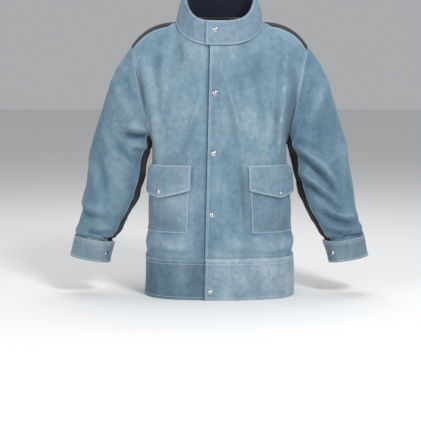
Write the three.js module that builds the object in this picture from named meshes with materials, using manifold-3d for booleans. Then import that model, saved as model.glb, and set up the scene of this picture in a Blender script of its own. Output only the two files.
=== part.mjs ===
// A welder's jacket: split-leather fronts, sleeves and waistband, a cotton back, a stand-up collar,
// two flapped patch pockets, banded cuffs and nine press studs. It stands on its hem, in the shape that it
// has when worn. Millimetres, +Z up, +X to the wearer's left, the front faces -Y.
import * as THREE from "three";
import Module from "manifold-3d";
import { mergeVertices } from "three/addons/utils/BufferGeometryUtils.js";

const V = (x, y, z) => new THREE.Vector3(x, y, z);

// ---- Driving dimensions ----
const hemHalfWidth = 207; // half the width across the hem
const chestHalfWidth = 186; // half the width at the armpits
const armpitHeight = 418;
const hemFrontDepth = 148; // from the mid-plane to the front at the hem
const chestFrontDepth = 122;
const hemBackDepth = 138;
const chestBackDepth = 136;
const leather = 2.0; // thickness of the split leather
const cotton = 1.2; // thickness of the back's cotton
const seamGap = 0.4; // between the faces of two sewn pieces
const bandHeight = 112; // waistband
const bandLap = 14; // how far the waistband laps over the panels
const flyHalfWidth = 45; // from the centre to the line where the front folds open
const underlap = 10; // how far the right front runs past the centre, under the fly
const flyEdgeAtHem = -42; // x of the fly's free edge
const flyEdgeAtNeck = -26;
const neckFrontHeight = 686;
const neckPoint = V(116, -20, 752); // where neck and shoulder seams meet
const neckBack = V(0, 84, 768);
const shoulderBow = V(200, -12, 752); // bends the shoulder seam over the shoulder
const shoulderTip = V(243, 0, 688);
const armholeDepth = 82; // half the armhole's depth, front to back
const collarSeamGap = 0.5; // from the neck seam to the collar's lower edge
const collarTopHalfWidth = 93;
const collarFrontHeight = 66; // height of the collar at the front, at the side and at the back
const collarSideHeight = 84;
const collarBackHeight = 82;
const pocketTop = 343;
const pocketHeight = 164;
const pocketInner = 33; // angle round the jacket from the front, in degrees
const pocketOuter = 80;
const pocketBulge = 12; // how far the empty pocket stands out
const flapTop = 364;
const flapSideDrop = 68;
const flapPointDrop = 90;
const innerSeamTurn = 38; // degrees from the inner arm to the front of the sleeve's inner seam
const cuffTop = V(351, -21, 155); // centre of the cuff's upper and lower edges
const cuffBottom = V(363.5, -25, 98);
const cuffHalfWidth = 53; // side to side, and front to back
const cuffHalfDepth = 47;
const cuffSlant = 0.17; // rise of the cuff's edges, inner to outer
const capRadius = 6.4; // press stud
const capHeight = 2.6;
const snapStack = 4.0; // leather to leather inside a closed press stud
const snapFromEdge = 16; // from a stud's centre to the fly's free edge
const frontSnapHeights = [22, 231, 396, 558];
const collarSnapHeight = 727;
const loopBow = 12; // how far the hanging loop stands off the back
const loopLow = 0.62; // its edges, as shares of the way up the back's last row
const loopHigh = 0.85;

const frontSlope = (hemFrontDepth - chestFrontDepth) / armpitHeight;
const flyLift = snapStack;
const bandLift = seamGap;
const flyBandLift = flyLift + leather + seamGap;
const collarLift = 0.8;
const collarTabLift = collarLift + leather + snapStack;
const flyAxisLift = Math.max(flyBandLift, collarTabLift) + leather + 0.3;

// ---- Helpers ----
const mix = THREE.MathUtils.lerp;
const ease = (t) => THREE.MathUtils.smoothstep(t, 0, 1);
const radians = THREE.MathUtils.degToRad;
const valueOf = (f, u, v) => (typeof f === "function" ? f(u, v) : f);

// Rounded-rectangle radius in the direction of angle (from -Y towards +X), for half sizes a and b.
const roundRadius = (angle, a, b, power) =>
  (Math.abs(Math.sin(angle) / a) ** power + Math.abs(Math.cos(angle) / b) ** power) ** (-1 / power);

// The sheet's outward direction. A surface may carry a rule, turn, that bends it near an edge.
function normalAt(surface, u, v) {
  const step = 1e-3;
  const [u0, u1] = [Math.max(u - step, 0), Math.min(u + step, 1)];
  const [v0, v1] = [Math.max(v - step, 0), Math.min(v + step, 1)];
  const across = surface(u1, v).sub(surface(u0, v));
  const up = surface(u, v1).sub(surface(u, v0));
  const normal = across.cross(up).normalize();
  return surface.turn ? surface.turn(normal, u, v).normalize() : normal;
}
const level = (surface) => Object.assign(surface, { turn: (normal) => normal.setZ(0) });

const lifted = (surface, u, v, lift) =>
  surface(u, v).addScaledVector(normalAt(surface, u, v), lift);

// A closed sheet over surface(u, v), both from 0 to 1, filling from one lift to another along its normal.
function sheet(surface, columns, rows, from, to) {
  const made = new THREE.BoxGeometry(1, 1, 1, columns, rows, 1);
  const place = made.attributes.position;
  for (let i = 0; i < place.count; i++) {
    const [u, v] = [place.getX(i) + 0.5, place.getY(i) + 0.5];
    const lift = place.getZ(i) > 0 ? valueOf(to, u, v) : valueOf(from, u, v);
    place.setXYZ(i, ...lifted(surface, u, v, lift).toArray());
  }
  made.deleteAttribute("uv");
  made.deleteAttribute("normal");
  return made;
}

const wasm = await Module();
wasm.setup();

function solidOf(geometry) {
  const bare = new THREE.BufferGeometry().setAttribute("position", geometry.attributes.position);
  bare.setIndex(geometry.index);
  const merged = mergeVertices(bare, 1e-4);
  const triVerts = new Uint32Array(merged.index.array);
  return new wasm.Manifold(
    new wasm.Mesh({ numProp: 3, vertProperties: merged.attributes.position.array, triVerts }),
  );
}

function geometryOf(solid) {
  const mesh = solid.getMesh();
  const made = new THREE.BufferGeometry();
  made.setAttribute("position", new THREE.BufferAttribute(mesh.vertProperties, 3));
  return made.setIndex(new THREE.BufferAttribute(mesh.triVerts, 1));
}

const jacket = new THREE.Group();

const materials = {
  leather: new THREE.MeshStandardMaterial({ color: 0x84a0b5, roughness: 0.95, metalness: 0 }),
  cotton: new THREE.MeshStandardMaterial({ color: 0x15171c, roughness: 0.9, metalness: 0 }),
  lining: new THREE.MeshStandardMaterial({ color: 0x1b2233, roughness: 0.9, metalness: 0 }),
  steel: new THREE.MeshStandardMaterial({ color: 0xc8c8c8, roughness: 0.25, metalness: 1 }),
};

function add(name, geometry, material, mirror = false) {
  const mesh = new THREE.Mesh(geometry, materials[material]);
  mesh.name = name;
  if (mirror) mesh.scale.x = -1;
  jacket.add(mesh);
  return mesh;
}

// ---- Torso surface, for the wearer's left; the right is its mirror image ----
const frontLine = (z) => -(hemFrontDepth - frontSlope * z);
const halfWidth = (z) => mix(hemHalfWidth, chestHalfWidth, ease(z / armpitHeight));
const backDepth = (z) => mix(hemBackDepth, chestBackDepth, z / armpitHeight);
const frontPower = 3;
const backPower = 2.5;
const frontDepth = (z) =>
  -frontLine(z) / (1 - (flyHalfWidth / halfWidth(z)) ** frontPower) ** (1 / frontPower);

// Point of the torso's section at height z, angle from the front, in radians.
function section(angle, z) {
  const front = angle < Math.PI / 2;
  const depth = front ? frontDepth(z) : backDepth(z);
  const r = roundRadius(angle, halfWidth(z), depth, front ? frontPower : backPower);
  return V(r * Math.sin(angle), -r * Math.cos(angle), z);
}

const armpit = V(chestHalfWidth, 0, armpitHeight);
const armholeCentre = armpit.clone().add(shoulderTip).multiplyScalar(0.5);

// Neck seam, angle 0 at the front and 180 degrees at the back.
const neckHalfDepth = (neckBack.y - frontLine(neckFrontHeight)) / 2;
const neckCentreY = (neckBack.y + frontLine(neckFrontHeight)) / 2;
const neckHalfWidth = neckPoint.x + 2;
function neckHeight(angle) {
  const t = (1 - Math.cos(angle)) / 2;
  const rise = neckPoint.z - neckFrontHeight;
  return neckFrontHeight + rise * ease(Math.min(1, t * 2)) + (neckBack.z - neckPoint.z) * ease(t * 2 - 1);
}
function neckSeam(angle) {
  const r = roundRadius(angle, neckHalfWidth, neckHalfDepth, 2.7);
  return V(r * Math.sin(angle), neckCentreY - r * Math.cos(angle), neckHeight(angle));
}
const neckPointAngle = Math.atan2(neckPoint.x, neckCentreY - neckPoint.y);
const neckFlyAngle = Math.atan2(flyHalfWidth, neckHalfDepth * 0.99);
const neckStart = neckSeam(neckPointAngle);
const shoulderSeam = new THREE.QuadraticBezierCurve3(neckStart, shoulderBow, shoulderTip);

// Upper part of a panel: each upright line is a cubic from the armpit level to the neck or shoulder seam.
// Its two handles change from straight or upright at the centre to the half ellipse of the armhole.
function upright(bottom, top, atCentre, atShoulder, toShoulder, toArmhole, side, v) {
  const armhole = V(0, (side * armholeDepth * 4) / 3, 0);
  const handle = (i) =>
    atCentre[i].clone().lerp(atShoulder[i], toShoulder).lerp(armhole, toArmhole);
  const [a, b] = [handle(0).add(bottom), handle(1).add(top)];
  return new THREE.CubicBezierCurve3(bottom, a, b, top).getPoint(v);
}

const neckShare = 0.45; // share of the panel's width that ends at the neck seam
const lowRows = 0.5; // share of the rows below the armpits
const panelBottom = bandHeight - bandLap;

// Left front from the fold line (u 0) to the side seam and armhole (u 1).
function frontPanel(u, v, bottomHeight = panelBottom) {
  const angleAt = (z) => {
    const start = Math.atan2(flyHalfWidth, -frontLine(z));
    return mix(start, Math.PI / 2, u);
  };
  if (v <= lowRows) {
    const z = mix(bottomHeight, armpitHeight, v / lowRows);
    return section(angleAt(z), z);
  }
  const bottom = section(angleAt(armpitHeight), armpitHeight);
  const top =
    u < neckShare
      ? neckSeam(mix(neckFlyAngle, neckPointAngle, u / neckShare))
      : shoulderSeam.getPoint((u - neckShare) / (1 - neckShare));
  const rise = top.z - bottom.z;
  const third = top.clone().sub(bottom).divideScalar(3);
  return upright(
    bottom,
    top,
    [third, third.clone().negate()],
    [V(0, -4, rise * 0.62), V(0, -50, -14)],
    Math.min(1, u / neckShare) ** 1.5,
    Math.max(0, (u - neckShare) / (1 - neckShare)) ** 1.6,
    -1,
    (v - lowRows) / (1 - lowRows),
  );
}

// Half of the back from the centre (w 0) to the side seam and armhole (w 1).
function halfBack(w, v, bottomHeight = panelBottom) {
  const angle = Math.PI * (1 - w / 2);
  if (v <= lowRows) return section(angle, mix(bottomHeight, armpitHeight, v / lowRows));
  const bottom = section(angle, armpitHeight);
  const top =
    w < neckShare
      ? neckSeam(mix(Math.PI, neckPointAngle, w / neckShare))
      : shoulderSeam.getPoint((w - neckShare) / (1 - neckShare));
  const rise = top.z - bottom.z;
  return upright(
    bottom,
    top,
    [V(0, 16, rise * 0.45), V(0, 34, -rise * 0.2)],
    [V(0, 10, rise * 0.62), V(0, 62, 17.4)],
    Math.min(1, w / neckShare) ** 1.5,
    Math.max(0, (w - neckShare) / (1 - neckShare)) ** 1.6,
    1,
    (v - lowRows) / (1 - lowRows),
  );
}

// Flat strip at the centre front, between x = -45 and 45.
const flyEdge = (z) => mix(flyEdgeAtHem, flyEdgeAtNeck, z / neckFrontHeight);
const stripNeck = (x) => neckHeight(Math.atan2(Math.abs(x), neckHalfDepth * 0.99));
const stripPoint = (x, z) => V(x, frontLine(z), z);

// How much the left front rises over the right one: full at the fold line, none past the pocket.
const easeDown = (lift, rest) => (u) => mix(lift, rest, ease(u / 0.19));

// ---- Panels ----
const armholeNormal = V(shoulderTip.z - armpit.z, 0, armpit.x - shoulderTip.x).normalize();
// Keeps a sheet's edge on its own side of the armhole's plane, by turning its normal into the plane there.
const clearOfArmhole = (share, side) => (normal, u, v) => {
  const [k, facing, mirror] = share(u, v);
  const plane = V(armholeNormal.x * mirror, 0, armholeNormal.z);
  const out = normal.dot(plane) * facing;
  return out < 0 ? normal : normal.addScaledVector(plane, -normal.dot(plane) * k);
};
const panelSide = clearOfArmhole((u, v) => [v > lowRows ? ease((u - 0.9) / 0.1) : 0, -1, 1]);
const trimmed = (surface, u0, u1, v0, v1) => (u, v) => surface(mix(u0, u1, u), mix(v0, v1, v));

const frontColumns = 14;
const rightColumns = 25; // the right front, with its flat strip
const panelRows = 10;
const backColumns = 24;
const seam = 0.0012; // share of a panel's width left open at a seam
const topInset = 1 - 0.0008;

const leftPanel = trimmed(frontPanel, seam, 1 - seam, 0, topInset);
leftPanel.turn = panelSide;
add(
  "front_panel_left",
  sheet(leftPanel, frontColumns, panelRows, easeDown(flyLift, -leather), easeDown(flyLift + leather, 0)),
  "leather",
);

// The fly: the left front's free edge, from the fold line to the edge that the studs close.
const foldGap = 0.3;
const flyPoint = (u, v) => {
  const x = (z) => mix(flyEdge(z), flyHalfWidth - foldGap, u);
  const z = mix(panelBottom, stripNeck(x(neckFrontHeight)) - seamGap, v);
  return stripPoint(x(z), z);
};

// Round holes through a sheet, for studs that stand at points along normal.
const holeRadius = 2.4;
function drill(geometry, points, normal) {
  const holes = points.map((point) => {
    const tool = new THREE.CylinderGeometry(holeRadius, holeRadius, 60, 10);
    tool.applyQuaternion(new THREE.Quaternion().setFromUnitVectors(V(0, 1, 0), normal));
    return solidOf(tool.translate(point.x, point.y, point.z));
  });
  return geometryOf(holes.reduce((solid, hole) => solid.subtract(hole), solidOf(geometry)));
}
const mirrored = (p) => V(-p.x, p.y, p.z);

const stripNormal = V(0, -1, frontSlope).normalize();
const snapX = (z) => flyEdge(z) + snapFromEdge;
const [bandSnap, ...flySnaps] = frontSnapHeights.map((z) => stripPoint(snapX(z), z));
add(
  "front_fly",
  drill(sheet(flyPoint, 2, panelRows, flyLift, flyLift + leather), flySnaps, stripNormal),
  "leather",
);

// The right front mirrors the left and runs on past the centre, under the fly.
const stripShare = 0.16; // share of the right front's columns that lie on the flat strip
function rightFront(surface, heightAt) {
  return (u, v) => {
    if (u >= stripShare) return surface((u - stripShare) / (1 - stripShare), v);
    const x = mix(-underlap, flyHalfWidth, u / stripShare);
    return stripPoint(x, heightAt(x, v));
  };
}
const panelHeight = (x, v) =>
  v <= lowRows
    ? mix(panelBottom, armpitHeight, v / lowRows)
    : mix(armpitHeight, stripNeck(x), (v - lowRows) / (1 - lowRows));
const rightPanel = trimmed(rightFront(frontPanel, panelHeight), 0, 1 - seam, 0, topInset);
rightPanel.turn = panelSide;
add(
  "front_panel_right",
  drill(sheet(rightPanel, rightColumns, panelRows, -leather, 0), flySnaps.map(mirrored), stripNormal),
  "leather",
  true,
);

// Both halves of the back, u from the wearer's left to the wearer's right.
const wholeBack = (half) => (u, v) => {
  const w = 1 - 2 * u;
  const p = half(Math.abs(w), v);
  return w < 0 ? mirrored(p) : p;
};
const backPanel = trimmed(wholeBack(halfBack), seam / 2, 1 - seam / 2, 0, topInset);
backPanel.turn = clearOfArmhole((u, v) => {
  const w = 1 - 2 * u;
  return [v > lowRows ? ease((Math.abs(w) - 0.9) / 0.1) : 0, -1, Math.sign(w)];
});
add("back_panel", sheet(backPanel, backColumns, panelRows, -cotton, 0), "cotton");

// ---- Waistband ----
const bandRows = (v) => (v * lowRows * bandHeight) / armpitHeight;
const frontBand = (u, v) => frontPanel(u, bandRows(v), 0);
const leftBand = level(trimmed(frontBand, seam, 1 - seam, 0, 1));
add(
  "hem_band_left",
  sheet(leftBand, frontColumns, 2, easeDown(flyBandLift, seamGap), easeDown(flyBandLift + leather, seamGap + leather)),
  "leather",
);
const flyBand = level((u, v) => {
  const z = v * bandHeight;
  return stripPoint(mix(flyEdge(z), flyHalfWidth - foldGap, u), z);
});
add(
  "fly_hem_band",
  drill(sheet(flyBand, 2, 2, flyBandLift, flyBandLift + leather), [bandSnap], stripNormal),
  "leather",
);
const rightBand = level(
  trimmed(rightFront(frontBand, (x, v) => v * bandHeight), 0, 1 - seam, 0, 1),
);
add(
  "hem_band_right",
  drill(sheet(rightBand, rightColumns, 2, seamGap, seamGap + leather), [mirrored(bandSnap)], stripNormal),
  "leather",
  true,
);
const backBand = level(
  trimmed(wholeBack((w, v) => halfBack(w, bandRows(v), 0)), seam / 2, 1 - seam / 2, 0, 1),
);
add("hem_band_back", sheet(backBand, backColumns, 2, seamGap, seamGap + cotton), "cotton");

// ---- Collar ----
const collarTopHeight = (angle) => {
  const t = (1 - Math.cos(angle)) / 2;
  const side = mix(collarFrontHeight, collarSideHeight, ease(Math.min(1, t * 2)));
  return neckHeight(angle) + mix(side, collarBackHeight, ease(t * 2 - 1));
};
function collarPoint(angle, v) {
  const bottom = neckSeam(angle);
  const top = collarTopHeight(angle);
  const [front, back] = [frontLine(top), neckBack.y - 6];
  const r = roundRadius(angle, collarTopHalfWidth, (back - front) / 2, 2.7);
  const rim = V(r * Math.sin(angle), (back + front) / 2 - r * Math.cos(angle), top);
  return bottom.setZ(bottom.z + collarSeamGap).lerp(rim, v);
}
const collarFold = Math.atan2(flyHalfWidth, neckHalfDepth);
const tabEdge = -Math.atan2(-flyEdge(neckFrontHeight) + 12, neckHalfDepth);
const collarEnd = 2 * Math.PI + Math.atan2(underlap, neckHalfDepth);
const foldTurn = 0.002; // half the fold's gap, as an angle
const collarColumns = 36;
const liningMargin = 3; // columns of the collar left bare at each end of the lining
const collarSurface = (from, to) => (u, v) => collarPoint(mix(from, to, u), v);
const collarAngle = (column) => mix(collarFold + foldTurn, collarEnd, column / collarColumns);
const collarRise = (angle) =>
  mix(collarTabLift, collarLift, ease((angle - collarFold) / radians(35)));
function collarSheet(first, last, low, inner, outer) {
  const [from, to] = [collarAngle(first), collarAngle(last)];
  const rise = (lift) => (u) => collarRise(mix(from, to, u)) + lift;
  const surface = trimmed(collarSurface(from, to), 0, 1, low, 1);
  return sheet(surface, last - first, 3, rise(inner), rise(outer));
}
const collarSnapShare = (collarSnapHeight - neckFrontHeight) / collarFrontHeight;
const collarSnapAngle = -Math.atan2(2 - snapX(neckFrontHeight), neckHalfDepth);
const aroundCollarSnap = collarSurface(collarSnapAngle - 0.5, collarSnapAngle + 0.5);
const collarSnap = [
  aroundCollarSnap(0.5, collarSnapShare),
  normalAt(aroundCollarSnap, 0.5, collarSnapShare),
];
add(
  "collar_outer",
  drill(collarSheet(0, collarColumns, 0, 0, leather), [collarSnap[0]], collarSnap[1]),
  "leather",
);
add(
  "collar_lining",
  collarSheet(liningMargin, collarColumns - liningMargin, 0.06, -2 * seamGap - cotton, -2 * seamGap),
  "lining",
);
const tab = collarSurface(tabEdge, collarFold - foldTurn);
add(
  "collar_tab",
  drill(sheet(tab, 6, 3, collarTabLift, collarTabLift + leather), [collarSnap[0]], collarSnap[1]),
  "leather",
);

// A loop of the back's cotton inside the neck, to hang the jacket by. It starts and ends on two of the
// back's columns, on the straight between its two upper rows.
const loopSurface = (u, v) => {
  const at = mix(0.5 - 1 / backColumns, 0.5 + 1 / backColumns, u);
  return backPanel(at, 1 - 1 / panelRows).lerp(backPanel(at, 1), mix(loopLow, loopHigh, v));
};
const loopRise = (lift) => (u) => lift - cotton - seamGap - loopBow * Math.sin(Math.PI * u) ** 0.7;
add("hanger_loop", sheet(loopSurface, 10, 1, loopRise(-cotton), loopRise(0)), "cotton");

// ---- Press studs ----
// A stack of four pieces along z, with 0 on the outer face of the upper layer: the cap and, under that
// layer, the socket; the stud and, behind the lower layer, its post. sag leaves room under curved leather.
const capSides = 9;
function spun(...profile) {
  const made = new THREE.LatheGeometry(profile.map(([r, z]) => new THREE.Vector2(r, z)), capSides);
  return made.rotateX(Math.PI / 2);
}
function snap(name, point, normal, lift, sag, mirror = false) {
  const under = -(leather + snapStack + sag);
  const socket = -leather - 0.3 - sag;
  const cap = 0.3 + sag * 0.7;
  const pieces = {
    cap: spun(
      [0, socket - 1], [1.9, socket - 1], [1.9, cap], [capRadius, cap], [capRadius, cap + 0.8],
      [capRadius * 0.7, cap + capHeight * 0.8], [0, cap + capHeight],
    ),
    socket: spun(
      [3.2, socket - 2], [5.2, socket - 2], [5.2, socket], [2.3, socket], [2.3, socket - 1], [3.2, socket - 1],
      [3.2, socket - 2],
    ),
    stud: spun(
      [0, under + 0.3], [5, under + 0.3], [5, under + 1.3], [2.5, under + 1.3], [2.5, under + 2.3], [0, under + 2.3],
    ),
    post: spun(
      [0, under - leather - 1.3 - sag], [5, under - leather - 1.3 - sag], [5, under - leather - 0.3 - sag],
      [1.8, under - leather - 0.3 - sag], [1.8, under], [0, under],
    ),
  };
  const place = new THREE.Quaternion().setFromUnitVectors(V(0, 0, 1), normal);
  for (const [piece, geometry] of Object.entries(pieces)) {
    geometry.applyQuaternion(place);
    const seat = point.clone().addScaledVector(normal, lift);
    add(name + "_" + piece, geometry.translate(seat.x, seat.y, seat.z), "steel", mirror);
  }
}
flySnaps.forEach((p, i) => snap("fly_snap_" + (i + 1), p, stripNormal, flyLift + leather, 0));
snap("hem_snap", bandSnap, stripNormal, flyBandLift + leather, 0);
snap("collar_snap", ...collarSnap, collarTabLift + leather, 0.2);

// ---- Patch pockets and their flaps ----
const pocketSag = 0.3;
const pocketSurface = (u, v) =>
  section(radians(mix(pocketInner, pocketOuter, u)), mix(pocketTop - pocketHeight, pocketTop, v));
const pouch = (u, v) => 0.5 + pocketBulge * Math.sin(Math.PI * u) ** 0.8 * ease(v / 0.35);
const flapReach = 1.2; // how many degrees the flap is wider than the pocket, at each side
const flapSurface = (u, v) => {
  const drop = mix(flapPointDrop, flapSideDrop, Math.abs(2 * u - 1));
  return section(
    radians(mix(pocketInner - flapReach, pocketOuter + flapReach, u)),
    flapTop - (1 - v) * drop,
  );
};
const flapRise = (u, v) =>
  mix(0.5, pouch(u, 1) + leather + snapStack + pocketSag, ease((1 - v) / 0.16));
const pocketSnap = flapSurface(0.5, 0.2);
const pocketSnapNormal = normalAt(level(pocketSurface), 0.5, 0.5);
for (const [side, mirror] of [["left", false], ["right", true]]) {
  const pocket = sheet(pocketSurface, 12, 6, pouch, (u, v) => pouch(u, v) + leather);
  const flap = sheet(flapSurface, 12, 6, flapRise, (u, v) => flapRise(u, v) + leather);
  add("pocket_" + side, drill(pocket, [pocketSnap], pocketSnapNormal), "leather", mirror);
  add("pocket_flap_" + side, drill(flap, [pocketSnap], pocketSnapNormal), "leather", mirror);
  snap("pocket_snap_" + side, pocketSnap, pocketSnapNormal, flapRise(0.5, 0) + leather, pocketSag, mirror);
}

// ---- Sleeves ----
// A sleeve's section lies between an inner and an outer line; the third line holds its half depth and the
// y of its middle. Stations run from the armhole to the end inside the cuff.
const line = (...points) => new THREE.CatmullRomCurve3(points, false, "centripetal");
const tuck = leather + 0.6; // from the cuff's outer face to the sleeve inside it
const cuffPoint = (theta, v, inset = 0) => {
  const r = roundRadius(theta, 1, 1, 2.2);
  const [x, y] = [-(cuffHalfWidth - inset) * r * Math.cos(theta), -(cuffHalfDepth - inset) * r * Math.sin(theta)];
  return cuffBottom.clone().lerp(cuffTop, v).add(V(x, y, x * cuffSlant));
};
const inCuff = (v) => [cuffPoint(0, v, tuck), cuffPoint(Math.PI, v, tuck)];
const armholeGap = armholeNormal.clone().multiplyScalar(seamGap);
const [mouthIn, mouthOut] = inCuff(1.06);
const [endIn, endOut] = inCuff(0.6);
const sleeveInner = line(
  armpit.clone().add(armholeGap), V(190, 0, 409), V(194, 0, 396), V(200, 0, 374), V(207, 0, 335),
  V(217, 0, 290), V(240, 0, 238), V(268, 0, 190), V(287, 0, 160), mouthIn.setY(0), endIn.setY(0),
);
const sleeveOuter = line(
  shoulderTip.clone().add(armholeGap), V(277, 0, 640), V(306, 0, 575), V(334, 0, 490), V(355, 0, 410),
  V(369, 0, 328), V(381, 0, 250), V(392, 0, 200), V(401, 0, 174), mouthOut.setY(0), endOut.setY(0),
);
const sleeveDepth = line(
  V(armholeDepth, 0, 0), V(86, 2, 0), V(86, 4, 0), V(84, 5, 0), V(80, 5, 0),
  V(75, 2, 0), V(68, -6, 0), V(61, -14, 0), V(54, -20, 0),
  V(cuffHalfDepth - tuck, cuffTop.y, 0), V(cuffHalfDepth - tuck, mix(cuffBottom.y, cuffTop.y, 0.6), 0),
);
function sleevePoint(theta, v) {
  const t = 1 - v;
  const [inner, outer] = [sleeveInner.getPoint(t), sleeveOuter.getPoint(t)];
  const { x: depth, y: middle } = sleeveDepth.getPoint(t);
  const r = roundRadius(theta, 1, 1, mix(2, 2.2, ease(t * 8)));
  const p = inner.clone().lerp(outer, 0.5).addScaledVector(outer.clone().sub(inner), -0.5 * r * Math.cos(theta));
  return p.setY(middle - depth * r * Math.sin(theta));
}
const sleeveSeam = radians(0.2);
const sleeveStart = radians(innerSeamTurn);
const sleeveMid = radians(185);
const sleeveTurn = clearOfArmhole((u, v) => [ease((v - 0.85) / 0.15), 1, 1]);
for (const [side, mirror] of [["left", false], ["right", true]]) {
  const half = (name, from, to, columns, thickness, material) => {
    const surface = (u, v) => sleevePoint(mix(from + sleeveSeam, to - sleeveSeam, u), v);
    surface.turn = sleeveTurn;
    add("sleeve_" + side + "_" + name, sheet(surface, columns, 12, -thickness, 0), material, mirror);
  };
  half("front", sleeveStart, sleeveMid, 10, leather, "leather");
  half("back", sleeveMid, sleeveStart + 2 * Math.PI, 14, cotton, "cotton");
}

// ---- Cuffs: each band's raised end folds open at the front, and closes on its other end ----
const cuffSag = 0.6;
const cuffFold = radians(100);
const cuffTabEnd = radians(12);
const cuffUnderEnd = radians(70);
const cuffTabLift = snapStack + cuffSag;
const cuffFoldTurn = 0.003;
const cuffSurface = (from, to) => (u, v) => cuffPoint(mix(from, to, u), v);
const cuffRise = (u) =>
  mix(cuffTabLift, -leather, ease((u * (2 * Math.PI + cuffUnderEnd - cuffFold)) / radians(45)));
const cuffSnapAngle = radians(43);
const aroundSnap = cuffSurface(cuffSnapAngle - 0.5, cuffSnapAngle + 0.5);
const cuffSnap = [aroundSnap(0.5, 0.45), normalAt(aroundSnap, 0.5, 0.45)];
for (const [side, mirror] of [["left", false], ["right", true]]) {
  const band = cuffSurface(cuffFold + cuffFoldTurn, 2 * Math.PI + cuffUnderEnd);
  const cuff = sheet(band, 30, 2, cuffRise, (u) => cuffRise(u) + leather);
  const tab = sheet(cuffSurface(cuffTabEnd, cuffFold - cuffFoldTurn), 8, 2, cuffTabLift, cuffTabLift + leather);
  add("cuff_" + side, drill(cuff, [cuffSnap[0]], cuffSnap[1]), "leather", mirror);
  add("cuff_tab_" + side, drill(tab, [cuffSnap[0]], cuffSnap[1]), "leather", mirror);
  snap("cuff_snap_" + side, ...cuffSnap, cuffTabLift + leather, cuffSag, mirror);
}

// The lines that the moving pieces turn about, for the wearer's left.
const flapChord = flapSurface(1, 1).sub(flapSurface(0, 1)).normalize();
const flapOut = V(-flapChord.y, flapChord.x, 0).negate();
const flapFront = Math.max(...[0.3, 0.4, 0.5, 0.6, 0.7].map((u) => flapSurface(u, 1).dot(flapOut)));
const flapMiddle = flapSurface(0.5, 1);
const turnLines = {
  front_fly: [stripPoint(flyHalfWidth, 0).addScaledVector(stripNormal, flyAxisLift), V(0, frontSlope, 1)],
  pocket_flap: [
    flapMiddle.clone().addScaledVector(flapOut, flapFront - flapMiddle.dot(flapOut) + leather + 0.8),
    flapChord.clone().negate(),
  ],
  sleeve: [armholeCentre.clone(), armholeNormal.clone().negate()],
  cuff_tab: [cuffPoint(cuffFold, 0.5, -(cuffTabLift + leather + 0.3)), cuffTop.clone().sub(cuffBottom)],
};
jacket.userData.turnLines = turnLines;

// The frame's origin is under the middle of the whole jacket, front to back.
const middle = new THREE.Box3().setFromObject(jacket).getCenter(V(0, 0, 0));
jacket.position.y = -middle.y;
for (const [point, direction] of Object.values(turnLines)) {
  point.y -= middle.y;
  direction.normalize();
}

export default jacket;
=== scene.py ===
import math

import bmesh
import bpy
import numpy as np
from mathutils import Matrix, Vector, noise


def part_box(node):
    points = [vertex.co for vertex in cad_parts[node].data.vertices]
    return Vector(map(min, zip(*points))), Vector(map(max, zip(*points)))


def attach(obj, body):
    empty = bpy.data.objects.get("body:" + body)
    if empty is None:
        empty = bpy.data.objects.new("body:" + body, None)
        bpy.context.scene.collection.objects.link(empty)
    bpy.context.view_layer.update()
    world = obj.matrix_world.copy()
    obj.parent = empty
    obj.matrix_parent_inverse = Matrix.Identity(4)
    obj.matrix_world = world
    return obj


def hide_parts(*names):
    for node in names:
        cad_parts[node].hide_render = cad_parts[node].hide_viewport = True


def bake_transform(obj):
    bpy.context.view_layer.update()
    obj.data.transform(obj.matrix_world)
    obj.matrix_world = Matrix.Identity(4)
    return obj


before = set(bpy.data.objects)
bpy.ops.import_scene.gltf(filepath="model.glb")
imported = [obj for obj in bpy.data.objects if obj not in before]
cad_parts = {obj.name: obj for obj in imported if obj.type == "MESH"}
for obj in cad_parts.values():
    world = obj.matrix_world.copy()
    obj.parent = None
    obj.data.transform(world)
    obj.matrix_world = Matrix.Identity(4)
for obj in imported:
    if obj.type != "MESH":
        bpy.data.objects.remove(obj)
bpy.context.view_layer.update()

# Camera, level with the chest and far enough off to look nearly square on, turned down a little.
camera = bpy.data.objects.new("camera", bpy.data.cameras.new("camera"))
bpy.context.scene.collection.objects.link(camera)
camera.location = (-0.025, -3.4, 0.60)
camera.rotation_euler = (math.radians(90 - 6.22), 0, 0)
camera.data.sensor_width = 36
camera.data.lens = 104.3
bpy.context.scene.camera = camera

# Studio: a wide pale floor, open on every side, a soft key light from the upper right, a wide fill from the
# left and a light from above and behind.
FLOOR_HALF = 20
ground = bmesh.new()
bmesh.ops.create_grid(ground, x_segments=1, y_segments=1, size=FLOOR_HALF)
ground_mesh = bpy.data.meshes.new("studio_floor")
ground.to_mesh(ground_mesh)
ground.free()
studio = bpy.data.objects.new("studio_floor", ground_mesh)
bpy.context.scene.collection.objects.link(studio)
paper = bpy.data.materials.new("studio_paper")
paper.use_nodes = True
paper.node_tree.nodes["Principled BSDF"].inputs["Base Color"].default_value = (0.86, 0.86, 0.86, 1)
paper.node_tree.nodes["Principled BSDF"].inputs["Roughness"].default_value = 0.9
ground_mesh.materials.append(paper)

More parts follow.
